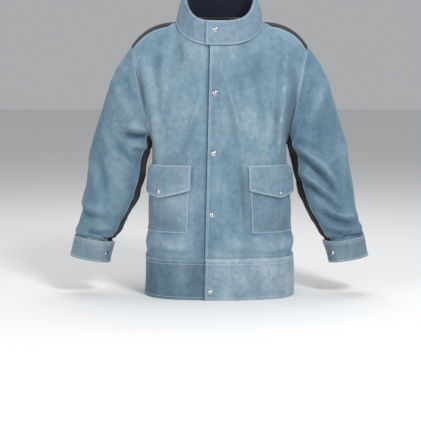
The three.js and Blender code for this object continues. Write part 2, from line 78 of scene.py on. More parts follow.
world = bpy.data.worlds.new("studio_air")
world.use_nodes = True
world.node_tree.nodes["Background"].inputs["Color"].default_value = (0.95, 0.97, 1, 1)
world.node_tree.nodes["Background"].inputs["Strength"].default_value = 0.42
bpy.context.scene.world = world
for name, place, aim_at, size, power in (
    ("key", (1.3, -2.6, 2.7), (0, 0, 0.45), 0.8, 80),
    ("fill", (-2.4, -2.2, 1.5), (0, 0, 0.4), 2.0, 30),
    ("top", (0.2, 0.9, 3.0), (0, 0, 0.5), 2.0, 34),
):
    lamp = bpy.data.lights.new(name, "AREA")
    lamp.size = size
    lamp.energy = power
    light = bpy.data.objects.new(name, lamp)
    light.location = place
    light.rotation_euler = (Vector(aim_at) - Vector(place)).to_track_quat("-Z", "Y").to_euler()
    bpy.context.scene.collection.objects.link(light)
bpy.context.scene.view_settings.view_transform = "Standard"

# Split leather: blue-grey cowhide with a brushed nap, paler where it is rubbed at edges and creases, with
# cloudy dye and faint streaks that run down the hide. Fold crests are paler, partly rubbed nap and partly
# painted highlight, and the folds' hollows are darkened as painted shade.


def split_leather(name, tint=(1, 1, 1), dark=1.0):
    made = bpy.data.materials.new(name)
    made.use_nodes = True
    nodes, links = made.node_tree.nodes, made.node_tree.links
    shader = nodes["Principled BSDF"]
    where = nodes.new("ShaderNodeTexCoord").outputs["Object"]

    def clouds(scale, detail, rough, stretch=(1, 1, 1)):
        placed = nodes.new("ShaderNodeMapping")
        placed.inputs["Scale"].default_value = stretch
        links.new(where, placed.inputs["Vector"])
        cloud = nodes.new("ShaderNodeTexNoise")
        cloud.inputs["Scale"].default_value = scale
        cloud.inputs["Detail"].default_value = detail
        cloud.inputs["Roughness"].default_value = rough
        links.new(placed.outputs["Vector"], cloud.inputs["Vector"])
        return cloud.outputs["Fac"]

    def ramp(value, *stops):
        band = nodes.new("ShaderNodeValToRGB")
        for element, (at, shade) in zip(band.color_ramp.elements, (stops[0], stops[-1])):
            element.position, element.color = at, (*shade, 1)
        for at, shade in stops[1:-1]:
            band.color_ramp.elements.new(at).color = (*shade, 1)
        links.new(value, band.inputs["Fac"])
        return band.outputs["Color"]

    def mix(kind, amount, a, b):
        blend = nodes.new("ShaderNodeMix")
        blend.data_type, blend.blend_type = "RGBA", kind
        if isinstance(amount, float):
            blend.inputs["Factor"].default_value = amount
        else:
            links.new(amount, blend.inputs["Factor"])
        for socket, value in ((blend.inputs["A"], a), (blend.inputs["B"], b)):
            if isinstance(value, tuple):
                socket.default_value = (*value, 1)
            else:
                links.new(value, socket)
        return blend.outputs["Result"]

    def shade(r, g, b):
        return tuple(dark * c * t for c, t in zip((r, g, b), tint))

    dye = ramp(
        clouds(7, 5, 0.62),
        (0.28, shade(0.145, 0.232, 0.325)),
        (0.5, shade(0.215, 0.330, 0.425)),
        (0.72, shade(0.330, 0.430, 0.500)),
    )
    streaks = ramp(clouds(26, 4, 0.6, (1, 1, 0.22)), (0.3, (0.80, 0.82, 0.85)), (0.7, (1.14, 1.10, 1.06)))
    grain = ramp(clouds(320, 3, 0.7), (0.25, (0.78, 0.78, 0.78)), (0.75, (1.14, 1.14, 1.14)))
    mottle = ramp(clouds(70, 6, 0.72), (0.3, (0.78, 0.82, 0.86)), (0.7, (1.2, 1.15, 1.1)))
    body = mix("MULTIPLY", 1.0, mix("MULTIPLY", 1.0, mix("MULTIPLY", 1.0, dye, mottle), streaks), grain)
    # The pale blue-grey is real rubbing at the cut edges and worn creases, and on fold crests partly rubbed
    # nap and partly painted highlight.
    worn_and_highlight = nodes.new("ShaderNodeAttribute")
    worn_and_highlight.attribute_name = "wear"
    patchy = nodes.new("ShaderNodeMath")
    patchy.operation = "MULTIPLY"
    links.new(worn_and_highlight.outputs["Fac"], patchy.inputs[0])
    links.new(ramp(clouds(60, 4, 0.7), (0.3, (0.35,) * 3), (0.6, (1,) * 3)), patchy.inputs[1])
    rubbed_and_highlight = mix("MIX", patchy.outputs[0], body, shade(0.50, 0.585, 0.64))
    # Painted shade: a dark blue-grey is mixed in by the attribute that marks fold hollows and the strip
    # beside the fly's edge.
    hollow = nodes.new("ShaderNodeAttribute")
    hollow.attribute_name = "hollow"
    shaded = mix("MIX", hollow.outputs["Fac"], rubbed_and_highlight, shade(0.105, 0.165, 0.225))
    links.new(shaded, shader.inputs["Base Color"])
    shader.inputs["Roughness"].default_value = 0.92
    shader.inputs["Specular IOR Level"].default_value = 0.25
    shader.inputs["Sheen Weight"].default_value = 0.22
    shader.inputs["Sheen Roughness"].default_value = 0.45
    shader.inputs["Sheen Tint"].default_value = (0.75, 0.85, 0.95, 1)
    nap = nodes.new("ShaderNodeBump")
    nap.inputs["Strength"].default_value = 0.35
    nap.inputs["Distance"].default_value = 0.0006
    links.new(clouds(700, 2, 0.6), nap.inputs["Height"])
    pebble = nodes.new("ShaderNodeBump")
    pebble.inputs["Strength"].default_value = 0.45
    pebble.inputs["Distance"].default_value = 0.0022
    links.new(clouds(75, 5, 0.65), pebble.inputs["Height"])
    links.new(nap.outputs["Normal"], pebble.inputs["Normal"])
    links.new(pebble.outputs["Normal"], shader.inputs["Normal"])
    return made


# Right front: one hide panel from the side seam to its straight edge, which runs on under the left front.
# It is cut to the chest, hangs in soft folds from the shoulder and the armhole, and tucks into the waistband.
# The shape of the whole body shell is set out here, for the wearer's left; the right is its mirror image.
LEATHER = 0.002
HEM_HALF, CHEST_HALF, ARMPIT = 0.207, 0.186, 0.418
FRONT_SLOPE = (0.148 - 0.122) / ARMPIT
FOLD_X, BAND_TOP, NECK_FRONT = 0.045, 0.112, 0.686
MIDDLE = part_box("hem_band_back")[1][1] - 0.138 - 0.0016  # y of the body's own mid-plane
NECK_SHARE, LOW_ROWS, YOKE = 0.45, 0.5, 0.135
NECK_TO_SHOULDER = np.array([0.200, -0.012, 0.752])
SHOULDER_TIP = np.array([0.243, 0, 0.688])
NECK_DEPTH = (0.084 + 0.148 - FRONT_SLOPE * NECK_FRONT) / 2
NECK_MIDDLE = 0.084 - NECK_DEPTH


def ease(t):
    t = np.clip(t, 0, 1)
    return t * t * (3 - 2 * t)


def front_line(z):
    return FRONT_SLOPE * z - 0.148


def round_radius(angle, a, b, power):
    return (np.abs(np.sin(angle) / a) ** power + np.abs(np.cos(angle) / b) ** power) ** (-1 / power)


def section(angle, z):
    half = HEM_HALF + (CHEST_HALF - HEM_HALF) * ease(z / ARMPIT)
    front = -front_line(z) / (1 - (FOLD_X / half) ** 3) ** (1 / 3)
    r = np.where(
        angle < math.pi / 2,
        round_radius(angle, half, front, 3),
        round_radius(angle, half, 0.138 - 0.002 * z / ARMPIT, 2.5),
    )
    return np.stack([r * np.sin(angle), -r * np.cos(angle), z], -1)


def neck_height(angle):
    t = (1 - np.cos(angle)) / 2
    return NECK_FRONT + 0.066 * ease(t * 2) + 0.016 * ease(t * 2 - 1)


def neck_seam(angle):
    r = round_radius(angle, 0.118, NECK_DEPTH, 2.7)
    return np.stack([r * np.sin(angle), NECK_MIDDLE - r * np.cos(angle), neck_height(angle)], -1)


NECK_POINT = math.atan2(0.116, NECK_MIDDLE + 0.020)
NECK_FOLD = math.atan2(FOLD_X, NECK_DEPTH * 0.99)


def shoulder_seam(t):
    t = t[..., None]
    start = neck_seam(np.array(NECK_POINT))
    return (1 - t) ** 2 * start + 2 * t * (1 - t) * NECK_TO_SHOULDER + t**2 * SHOULDER_TIP


def upright(u, v, neck_angle, side_angle, handles, side):
    bottom = section(side_angle(np.full_like(u, ARMPIT)), np.full_like(u, ARMPIT))
    top = np.where(
        (u < NECK_SHARE)[..., None],
        neck_seam(neck_angle(np.clip(u / NECK_SHARE, 0, 1))),
        shoulder_seam(np.clip((u - NECK_SHARE) / (1 - NECK_SHARE), 0, 1)),
    )
    rise = (top - bottom)[..., 2:]
    to_shoulder = (np.clip(u / NECK_SHARE, 0, 1) ** 1.5)[..., None]
    to_armhole = (np.clip((u - NECK_SHARE) / (1 - NECK_SHARE), 0, 1) ** 1.6)[..., None]
    armhole = np.array([0, side * 0.082 * 4 / 3, 0])
    bends = []
    for centre, shoulder in handles(rise, top - bottom):
        bend = centre + (shoulder - centre) * to_shoulder
        bends.append(bend + (armhole - bend) * to_armhole)
    t = np.clip((v - LOW_ROWS) / (1 - LOW_ROWS), 0, 1)[..., None]
    a, b = bottom + bends[0], top + bends[1]
    return (1 - t) ** 3 * bottom + 3 * t * (1 - t) ** 2 * a + 3 * t**2 * (1 - t) * b + t**3 * top


def yoke_ramp(u):
    """The back's cotton comes forward over the shoulder, from nothing at the neck point."""
    return np.clip((u - NECK_SHARE) / (1 - NECK_SHARE) * 7, 0, 1)


def from_armpit(v, by):
    return np.where(v <= LOW_ROWS, v, LOW_ROWS + (v - LOW_ROWS) * by)


def front_shell(u, v, low=0.098):
    def angle_at(z):
        start = np.arctan2(FOLD_X, -front_line(z))
        return start + (math.pi / 2 - start) * np.clip(u, 0, 1)

    def handles(rise, span):
        up = np.array([0, 0, 1])
        return (
            (span / 3, np.array([0, -0.004, 0]) + 0.62 * rise * up),
            (-span / 3, np.array([0, -0.050, -0.014])),
        )

    z = low + (ARMPIT - low) * np.clip(v / LOW_ROWS, 0, 1)
    lower = section(angle_at(z), z)
    upper = upright(u, v, lambda t: NECK_FOLD + (NECK_POINT - NECK_FOLD) * t, angle_at, handles, -1)
    return np.where((v <= LOW_ROWS)[..., None], lower, upper)


def strip(x, z):
    return np.stack([x + 0 * z, front_line(z) + 0 * x, z + 0 * x], -1)


def strip_neck(x):
    return neck_height(np.arctan2(np.abs(x), NECK_DEPTH * 0.99))


def front_with_strip(edge, share, u, v, low=0.098):
    """The front from its free edge at x = edge(z), over the flat strip, to the side seam."""
    on_strip = u < share
    k = np.clip(u / share, 0, 1)
    z = low + (ARMPIT - low) * np.clip(v / LOW_ROWS, 0, 1)
    t = np.clip((v - LOW_ROWS) / (1 - LOW_ROWS), 0, 1)
    x = edge(z) + (FOLD_X - edge(z)) * k
    z = z + (strip_neck(x) - ARMPIT) * t
    x = edge(z) + (FOLD_X - edge(z)) * k
    w = np.clip((u - share) / (1 - share), 0, 1)
    shell = front_shell(w, from_armpit(v, 1 - YOKE * yoke_ramp(w)), low)
    fold = np.full(u.shape, FOLD_X)
    fold_z = low + (ARMPIT - low) * np.clip(v / LOW_ROWS, 0, 1)
    fold_z = fold_z + (strip_neck(fold) - ARMPIT) * t
    lead = front_shell(0 * u, v, low) - strip(fold, fold_z)
    return np.where(on_strip[..., None], strip(x, z) + (k**2)[..., None] * lead, shell)


def facing(surface, u, v, step=2e-3):
    u0, u1 = np.clip(u - step, 0, 1), np.clip(u + step, 0, 1)
    v0, v1 = np.clip(v - step, 0, 1), np.clip(v + step, 0, 1)
    out = np.cross(surface(u1, v) - surface(u0, v), surface(u, v1) - surface(u, v0))
    return out / np.maximum(np.linalg.norm(out, axis=-1, keepdims=True), 1e-12)


def fly_edge(z):
    return -0.042 + 0.016 * z / NECK_FRONT


def along_fold(x, z, points, width):
    """How near each (x, z) lies to a fold's line, from 0 to 1, fading at both ends."""
    path = np.array(points, float) / 1000
    a, b, c = path[0], path[len(path) // 2], path[-1]
    t = np.linspace(0, 1, 13)[:, None]
    bend = 2 * b - (a + c) / 2
    path = (1 - t) ** 2 * a + 2 * t * (1 - t) * bend + t**2 * c
    best = np.full(x.shape, 9.0)
    share = np.zeros(x.shape)
    for k in range(12):
        p, d = path[k], path[k + 1] - path[k]
        s = np.clip(((x - p[0]) * d[0] + (z - p[1]) * d[1]) / (d @ d), 0, 1)
        off = np.hypot(x - p[0] - s * d[0], z - p[1] - s * d[1])
        share = np.where(off < best, (k + s) / 12, share)
        best = np.minimum(best, off)
    return np.exp(-((best / width) ** 2)) * np.sin(math.pi * np.clip(share, 0.04, 0.96)) ** 0.6


def folded(x, z, folds):
    lift = np.zeros(x.shape)
    for height, width, *points in folds:
        lift += height / 1000 * along_fold(x, z, points, width / 1000)
    return lift


def rumple(p, scale, seed):
    flat = p.reshape(-1, 3) * scale + seed
    return np.array([noise.noise(Vector(q)) for q in flat]).reshape(p.shape[:-1])


FRONT_FOLDS = (
    # the wearer's right
    (-11, 13, (-229, 640), (-214, 545), (-197, 432)),
    (6, 14, (-196, 640), (-184, 540), (-178, 420)),
    (-4, 14, (-163, 700), (-172, 590), (-166, 455)),
    (4, 16, (-140, 712), (-148, 600), (-140, 470)),
    (-4, 12, (-122, 722), (-108, 676), (-100, 600)),
    (3, 20, (-88, 705), (-90, 590), (-112, 460)),
    (4, 11, (-34, 585), (-84, 492), (-118, 405)),
    (-4, 13, (-36, 552), (-74, 470), (-100, 392)),
    (3, 12, (-38, 440), (-70, 395), (-90, 330)),
    (-3, 14, (-60, 330), (-70, 250), (-62, 150)),
    (3, 12, (-190, 250), (-150, 150), (-60, 140)),
    # the wearer's left
    (5, 8, (184, 660), (173, 515), (165, 392)),
    (-9, 12, (200, 610), (201, 500), (200, 420)),
    (-4, 9, (160, 640), (158, 520), (150, 400)),
    (5, 7, (8, 640), (38, 556), (60, 436)),
    (-5, 9, (-6, 610), (22, 530), (46, 420)),
    (3.5, 10, (45, 655), (84, 532), (104, 386)),
    (-3, 12, (62, 680), (104, 560), (128, 430)),
    (3, 12, (92, 707), (118, 640), (150, 590)),
    (3.5, 8, (70, 380), (80, 320), (74, 250)),
    (-3.5, 9, (56, 370), (64, 300), (60, 230)),
    (3, 9, (60, 436), (64, 390), (62, 340)),
    (3.5, 12, (20, 300), (50, 240), (52, 160)),
    (-3, 10, (110, 160), (140, 146), (160, 150)),
    (3, 8, (80, 140), (130, 132), (180, 140)),
)


def front_drape(p, side):
    """How far the hide stands proud of the shell: folds, cloudy unevenness and the blouse over the band."""
    x, z = p[..., 0] * side, p[..., 2]
    lift = folded(x, z, FRONT_FOLDS)
    lift += 0.0032 * rumple(p * [side, 1, 1], 9, 3.1) + 0.0014 * rumple(p * [side, 1, 1], 28, 7.7)
    lift += 0.007 * np.exp(-(((z - 0.150) / 0.022) ** 2)) * (1 + 0.35 * np.sin(x * 46))
    flat = ease((np.abs(x + 0.022) - 0.030) / 0.05)  # the studded edge lies flat
    low = ease((z - BAND_TOP - 0.004) / 0.02)
    high = ease((strip_neck(x) + 0.050 - z) / 0.06)
    return lift * (0.25 + 0.75 * flat) * low * high


def lay_grid(name, columns, rows, place, mirror, thickness, material, body, nodes, marks=None, soften=None):
    """A sheet of columns by rows quads, put in place by place(u, v), with its wall inside. Round the column
    at soften, where two of its curves meet, it is eased."""
    shape = bmesh.new()
    bmesh.ops.create_grid(shape, x_segments=columns, y_segments=rows, size=0.5)
    uv = np.array([v.co[:2] for v in shape.verts]) + 0.5
    at = place(uv[:, 0], uv[:, 1])
    if mirror:
        at = at * [-1, 1, 1]
    at = at + [0, MIDDLE, 0]
    for vert, co in zip(shape.verts, at):
        vert.co = co
    if soften is not None:
        for reach in (0.05, 0.09) * 12:
            near = [v for v, (a, b) in zip(shape.verts, uv) if abs(a - soften) < reach and 0.004 < b < 0.996]
            bmesh.ops.smooth_vert(
                shape, verts=near, factor=0.5, use_axis_x=True, use_axis_y=True, use_axis_z=True
            )
    if mirror:
        bmesh.ops.reverse_faces(shape, faces=shape.faces)
    for face in shape.faces:
        face.smooth = True
    mesh = bpy.data.meshes.new(name)
    shape.to_mesh(mesh)
    shape.free()
    for key, values in (marks(uv[:, 0], uv[:, 1]) if marks else {}).items():
        mesh.attributes.new(key, "FLOAT", "POINT").data.foreach_set("value", np.asarray(values, float))
    piece = bpy.data.objects.new(name, mesh)
    bpy.context.scene.collection.objects.link(piece)
    mesh.materials.append(material)
    wall = piece.modifiers.new("wall", "SOLIDIFY")
    wall.thickness = thickness
    wall.offset = -1
    if nodes:
        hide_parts(*nodes)
    if body:
        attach(piece, body)
    return piece


CREASES = (
    # worn lines, for both sides, with how pale each is and its half width
    (0.62, 3.0, (9, 613), (37, 520), (56, 437)),
    (0.40, 4.0, (56, 440), (60, 410), (57, 380)),
    (0.62, 3.6, (180, 657), (169, 509), (161, 399)),
    (0.40, 3.0, (90, 492), (100, 445), (109, 402)),
    (0.28, 3.5, (36, 600), (62, 500), (80, 440)),
    (0.35, 3.2, (78, 276), (84, 252), (88, 226)),
    (0.28, 3.5, (52, 300), (57, 240), (52, 165)),
    (0.55, 4.0, (120, 156), (140, 148), (150, 154)),
    (0.22, 5.0, (-44, 600), (-56, 530), (-86, 452)),
    (0.25, 5.0, (-150, 690), (-152, 560), (-160, 470)),
)


def seam_marks(surface, drape, edges, side=0):
    """Pale cut edges and worn creases, crests paler as rubbed nap and painted highlight, painted shade in
    hollows.
    """

    def marks(u, v):
        p = surface(u, v)
        lift = drape(p)
        # Paler on fold crests: partly rubbed nap, partly painted highlight.
        rub_and_highlight = np.clip((lift - 0.001) / 0.008, 0, 1) ** 1.5 * 0.42
        if side:
            for pale, width, *points in CREASES:
                broken = 0.55 + 0.9 * rumple(p * [side, 1, 1], 42, width)
                line = along_fold(p[..., 0] * side, p[..., 2], points, width / 1000)
                rub_and_highlight = np.maximum(rub_and_highlight, pale * broken * line)
        edge = np.zeros(u.shape)
        for gap in edges(u, v, p):
            edge = np.maximum(edge, np.exp(-((gap / 0.003) ** 2)) * 0.7)
        # Painted shade: darker where the fold dips below the shell.
        hollow = np.clip(-lift / 0.008, 0, 0.8)
        if side < 0:  # painted shadow: the leather beside the fly's edge is darkened where the edge casts its shadow
            beyond = fly_edge(p[..., 2]) + p[..., 0]
            hollow = np.maximum(hollow, 0.9 * np.exp(-((beyond / 0.0075) ** 2)))
        return {"wear": np.clip(rub_and_highlight + edge, 0, 1) * (1 - 0.6 * (hollow > 0.5)), "hollow": hollow}

    return marks


def draped(surface, lift, drape):
    """The leather's outer face: the shell, lifted, with its folds."""

    def place(u, v):
        p = surface(u, v)
        return p + facing(surface, u, v) * (lift(u, v) + drape(p))[..., None]

    return place


hide = split_leather("split_leather_front", (0.955, 1, 1), 0.91)
SHARE_RIGHT, SHARE_LEFT = 0.16, 0.25


def right_surface(u, v):
    return front_with_strip(lambda z: -0.010 + 0 * z, SHARE_RIGHT, u, v)


right_place = draped(right_surface, lambda u, v: 0 * u, lambda p: front_drape(p, -1))
right_front = lay_grid(
    "right_front", 130, 190, right_place, True, LEATHER, hide, "jacket_body", ["front_panel_right"],
    seam_marks(right_surface, lambda p: front_drape(p, -1), lambda u, v, p: [(1 - u) * 0.27], -1),
    soften=SHARE_RIGHT,
)

# Left front: the same hide panel with its wide studded edge, the fly, in one piece. It laps over the right
# front.
FLY_LIFT = 0.004


def left_surface(u, v):
    return front_with_strip(fly_edge, SHARE_LEFT, u, v)


def left_rise(u, v, top=FLY_LIFT + LEATHER, rest=0.0):
    return top + (rest - top) * ease((u - SHARE_LEFT) / (1 - SHARE_LEFT) / 0.19)


left_place = draped(left_surface, left_rise, lambda p: front_drape(p, 1))
left_front = lay_grid(
    "left_front", 140, 190, left_place, False, LEATHER, hide, None, ["front_panel_left", "front_fly"],
    seam_marks(
        left_surface, lambda p: front_drape(p, 1),
        lambda u, v, p: [p[..., 0] - fly_edge(p[..., 2]), (1 - u) * 0.33], 1,
    ),
    soften=SHARE_LEFT,
)
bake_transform(left_front)

# Back: one piece of near-black cotton twill from side seam to side seam. It wraps forward over both
# shoulders to the shoulder seam, hangs easily across the blades and gathers a little into the waistband.
COTTON = 0.0012


def twill(name, dye, weft, faded):
    made = bpy.data.materials.new(name)
    made.use_nodes = True
    nodes, links = made.node_tree.nodes, made.node_tree.links
    shader = nodes["Principled BSDF"]
    where = nodes.new("ShaderNodeTexCoord").outputs["Object"]
    turned = nodes.new("ShaderNodeMapping")
    turned.inputs["Rotation"].default_value = (0, math.radians(63), 0)
    links.new(where, turned.inputs["Vector"])
    ribs = nodes.new("ShaderNodeTexWave")
    ribs.inputs["Scale"].default_value = 420
    ribs.inputs["Distortion"].default_value = 1.2
    ribs.inputs["Detail"].default_value = 1
    links.new(turned.outputs["Vector"], ribs.inputs["Vector"])
    threads = nodes.new("ShaderNodeMix")
    threads.data_type = "RGBA"
    threads.inputs["A"].default_value = (*dye, 1)
    threads.inputs["B"].default_value = (*weft, 1)
    links.new(ribs.outputs["Fac"], threads.inputs["Factor"])
    dust = nodes.new("ShaderNodeTexNoise")
    dust.inputs["Scale"].default_value = 11
    dust.inputs["Detail"].default_value = 6
    dust.inputs["Roughness"].default_value = 0.7
    links.new(where, dust.inputs["Vector"])
    patches = nodes.new("ShaderNodeValToRGB")
    patches.color_ramp.elements[0].position = 0.5
    patches.color_ramp.elements[1].position = 0.78
    patches.color_ramp.elements[1].color = (0.55, 0.55, 0.55, 1)
    links.new(dust.outputs["Fac"], patches.inputs["Fac"])
    washed = nodes.new("ShaderNodeMix")
    washed.data_type = "RGBA"
    washed.inputs["B"].default_value = (*faded, 1)
    links.new(threads.outputs["Result"], washed.inputs["A"])
    links.new(patches.outputs["Color"], washed.inputs["Factor"])
    links.new(washed.outputs["Result"], shader.inputs["Base Color"])
    shader.inputs["Roughness"].default_value = 0.88
    shader.inputs["Specular IOR Level"].default_value = 0.3
    shader.inputs["Sheen Weight"].default_value = 0.12
    shader.inputs["Sheen Roughness"].default_value = 0.5
    slub = nodes.new("ShaderNodeBump")
    slub.inputs["Strength"].default_value = 0.5
    slub.inputs["Distance"].default_value = 0.0004
    links.new(ribs.outputs["Fac"], slub.inputs["Height"])
    crease = nodes.new("ShaderNodeBump")
    crease.inputs["Strength"].default_value = 0.4
    crease.inputs["Distance"].default_value = 0.003
    links.new(dust.outputs["Fac"], crease.inputs["Height"])
    links.new(slub.outputs["Normal"], crease.inputs["Normal"])
    links.new(crease.outputs["Normal"], shader.inputs["Normal"])
    return made


def half_back(w, v, low=0.098):
    def angle_at(z):
        return math.pi * (1 - w / 2) + 0 * z

    def handles(rise, span):
        up = rise * [0, 0, 1]
        return (
            (np.array([0, 0.016, 0]) + 0.45 * up, np.array([0, 0.010, 0]) + 0.62 * up),
            (np.array([0, 0.034, 0]) - 0.2 * up, np.array([0, 0.062, 0.0174])),
        )

    z = low + (ARMPIT - low) * np.clip(v / LOW_ROWS, 0, 1)
    upper = upright(w, v, lambda t: math.pi + (NECK_POINT - math.pi) * t, angle_at, handles, 1)
    return np.where((v <= LOW_ROWS)[..., None], section(angle_at(z), z), upper)


def whole_back(u, v, low=0.098):
    w = 1 - 2 * u
    half = np.abs(w)
    crest = 1 - yoke_ramp(half) / 12
    behind = half_back(half, from_armpit(np.minimum(v, crest), (1 - LOW_ROWS) / (crest - LOW_ROWS)), low)
    over = np.clip((v - crest) / np.maximum(1 - crest, 1e-6), 0, 1) * YOKE * yoke_ramp(half)
    forward = front_shell(half, from_armpit(np.ones(u.shape), 1 - over), low)
    p = np.where((v <= crest)[..., None], behind, forward)
    return p * np.stack([np.where(w < 0, -1, 1), np.ones(u.shape), np.ones(u.shape)], -1)


BACK_FOLDS = (
    (7, 20, (-190, 610), (-120, 560), (-60, 470)),
    (7, 20, (190, 610), (125, 555), (58, 480)),
    (-5, 18, (-195, 560), (-130, 500), (-80, 420)),
    (-5, 18, (195, 560), (135, 495), (84, 410)),
    (6, 18, (-150, 380), (-90, 250), (-96, 130)),
    (6, 20, (-20, 420), (-34, 260), (-24, 130)),
    (6, 18, (120, 400), (74, 270), (82, 130)),
    (-5, 16, (-70, 380), (-60, 250), (-62, 130)),
    (-5, 16, (40, 400), (26, 260), (30, 130)),
    (5, 16, (-110, 690), (0, 655), (110, 690)),
    (-4, 16, (-120, 660), (0, 615), (120, 660)),
    (6, 14, (-190, 250), (-120, 180), (-40, 170)),
    (5, 14, (190, 240), (110, 175), (40, 165)),
)


def back_drape(p):
    x, z = p[..., 0], p[..., 2]
    lift = folded(x, z, BACK_FOLDS)
    lift += 0.004 * rumple(p, 8, 12.4) + 0.0014 * rumple(p, 26, 4.9)
    lift += 0.006 * np.exp(-(((z - 0.148) / 0.022) ** 2)) * (1 + 0.5 * np.sin(x * 62))
    low = ease((z - BAND_TOP - 0.004) / 0.02)
    seams = ease((0.255 - np.abs(x)) / 0.02)
    return lift * low * seams * ease((0.800 - z) / 0.05) * ease((p[..., 1] + 0.02) / 0.05)


cotton = twill("black_cotton_twill", (0.010, 0.011, 0.014), (0.026, 0.028, 0.033), (0.055, 0.058, 0.066))
back_place = draped(whole_back, lambda u, v: 0 * u, back_drape)
back = lay_grid("back", 120, 150, back_place, False, COTTON, cotton, "jacket_body", ["back_panel"])

# Waistband: two leather fronts and a cotton back, 112 mm deep, lapped over the panels and topstitched. The
# left one runs on across the fly.
BAND_SHARE = LOW_ROWS * BAND_TOP / ARMPIT


def levelled(surface, lift, drape):
    def place(u, v):
        p = surface(u, v)
        out = facing(surface, u, v) * [1, 1, 0]
        out /= np.linalg.norm(out, axis=-1, keepdims=True)
        return p + out * (lift(u, v) + drape(p))[..., None]

    return place


def band_waves(side):
    def waves(p):
        x, z = p[..., 0] * side, p[..., 2]
        bow = 0.0022 * np.sin(x * 41 + 0.6) * np.sin(z / BAND_TOP * math.pi)
        flat = 0.35 + 0.65 * ease((np.abs(x + 0.022) - 0.030) / 0.05)
        bow += 0.0022 * np.abs(rumple(p * [side, 1, 1], 13, 5.2)) + 0.0010 * rumple(p * [side, 1, 1], 40, 9.6)
        return bow * flat

    return waves


def left_band_surface(u, v):
    return front_with_strip(fly_edge, SHARE_LEFT, u, v * BAND_SHARE, 0)


def right_band_surface(u, v):
    return front_with_strip(lambda z: -0.010 + 0 * z, SHARE_RIGHT, u, v * BAND_SHARE, 0)


# Painted light and shade: the two leather bands are tinted apart, the left one lighter as if lit, the right
# one darker as if shaded.
left_band_hide_painted_light = split_leather("split_leather_left_band_painted_light", (1.06, 1, 0.95), 1.08)
right_band_hide_painted_shade = split_leather("split_leather_right_band_painted_shade", (0.9, 1, 1.02), 0.64)
left_band_place = levelled(left_band_surface, lambda u, v: left_rise(u, v, 0.0084, 0.0024), band_waves(1))
left_band = lay_grid(
    "left_waistband", 170, 34, left_band_place, False, LEATHER, left_band_hide_painted_light, None,
    ["hem_band_left", "fly_hem_band"],
    seam_marks(
        left_band_surface, band_waves(1), lambda u, v, p: [v * 0.112, (1 - v) * 0.112, (1 - u) * 0.33]
    ),
)
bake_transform(left_band)
right_band_place = levelled(right_band_surface, lambda u, v: 0.0024 + 0 * u, band_waves(-1))
right_band = lay_grid(
    "right_waistband", 150, 34, right_band_place, True, LEATHER, right_band_hide_painted_shade, "jacket_body",
    ["hem_band_right"],
    seam_marks(
        right_band_surface, band_waves(-1), lambda u, v, p: [v * 0.112, (1 - v) * 0.112, (1 - u) * 0.3]
    ),
)


def back_band_surface(u, v):
    return whole_back(u, v * BAND_SHARE, 0)


back_band_place = levelled(back_band_surface, lambda u, v: 0.0016 + 0 * u, band_waves(1))
back_band = lay_grid(
    "back_waistband", 150, 30, back_band_place, False, COTTON, cotton, "jacket_body", ["hem_band_back"]
)

# Seams: pale blue-grey heavy thread, four millimetres to a stitch. Each stitch is a short rounded bar that
# lies on the leather; the rows follow the finished panels, so they bend with every fold.
thread = bpy.data.materials.new("pale_thread")
thread.use_nodes = True
thread_nodes, thread_links = thread.node_tree.nodes, thread.node_tree.links
ply = thread_nodes.new("ShaderNodeTexWave")
ply.inputs["Scale"].default_value = 900
ply.inputs["Distortion"].default_value = 2
thread_links.new(thread_nodes.new("ShaderNodeTexCoord").outputs["Object"], ply.inputs["Vector"])
strand = thread_nodes.new("ShaderNodeMix")
strand.data_type = "RGBA"
strand.inputs["A"].default_value = (0.50, 0.60, 0.68, 1)
strand.inputs["B"].default_value = (0.74, 0.80, 0.84, 1)
thread_links.new(ply.outputs["Fac"], strand.inputs["Factor"])
thread_links.new(strand.outputs["Result"], thread_nodes["Principled BSDF"].inputs["Base Color"])
thread_nodes["Principled BSDF"].inputs["Roughness"].default_value = 0.7
STITCH, PITCH, THREAD = 0.0032, 0.0044, 0.00062


def sew(name, place, rows, mirror, body=None):
    """Stitches along rows of (u, v) paths on a placed surface, as one piece."""
    shape, few = bmesh.new(), bmesh.new()
    made = bpy.data.meshes.new(name + "_few")

    def gather():
        few.to_mesh(made)
        shape.from_mesh(made)
        few.clear()

    for us, vs in rows:
        t = np.linspace(0, 1, 240)
        u, v = np.interp(t, np.linspace(0, 1, len(us)), us), np.interp(t, np.linspace(0, 1, len(vs)), vs)
        line = place(u, v)
        length = np.concatenate([[0], np.cumsum(np.linalg.norm(np.diff(line, axis=0), axis=1))])
        spots = np.arange(PITCH * 0.6, length[-1] - PITCH * 0.4, PITCH)
        share = np.interp(spots, length, t)
        u, v = np.interp(share, t, u), np.interp(share, t, v)
        here, out = place(u, v), facing(place, u, v)
        ahead = np.stack([np.interp(spots + 0.001, length, line[:, k]) for k in range(3)], -1) - np.stack(
            [np.interp(spots - 0.001, length, line[:, k]) for k in range(3)], -1
        )
        for point, normal, along in zip(here, out, ahead):
            along, normal = Vector(along).normalized(), Vector(normal)
            across = normal.cross(along).normalized()
            turn = Matrix((along, across, normal)).transposed().to_4x4()
            seat = Matrix.Translation(Vector(point) + normal * THREAD * 0.3)
            size = Matrix.Diagonal((STITCH / 2, THREAD, THREAD, 1))
            bmesh.ops.create_uvsphere(few, u_segments=6, v_segments=4, radius=1, matrix=seat @ turn @ size)
            if len(few.verts) > 1000:
                gather()
    gather()
    few.free()
    bpy.data.meshes.remove(made)
    if mirror:
        bmesh.ops.scale(shape, vec=(-1, 1, 1), verts=shape.verts)
        bmesh.ops.reverse_faces(shape, faces=shape.faces)
    bmesh.ops.translate(shape, vec=(0, MIDDLE, 0), verts=shape.verts)
    for face in shape.faces:
        face.smooth = True
    mesh = bpy.data.meshes.new(name)
    shape.to_mesh(mesh)
    shape.free()
    mesh.materials.append(thread)
    row = bpy.data.objects.new(name, mesh)
    bpy.context.scene.collection.objects.link(row)
    if body:
        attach(row, body)
    return row


def fly_u(distance, z):
    return SHARE_LEFT * distance / (FOLD_X - fly_edge(z))


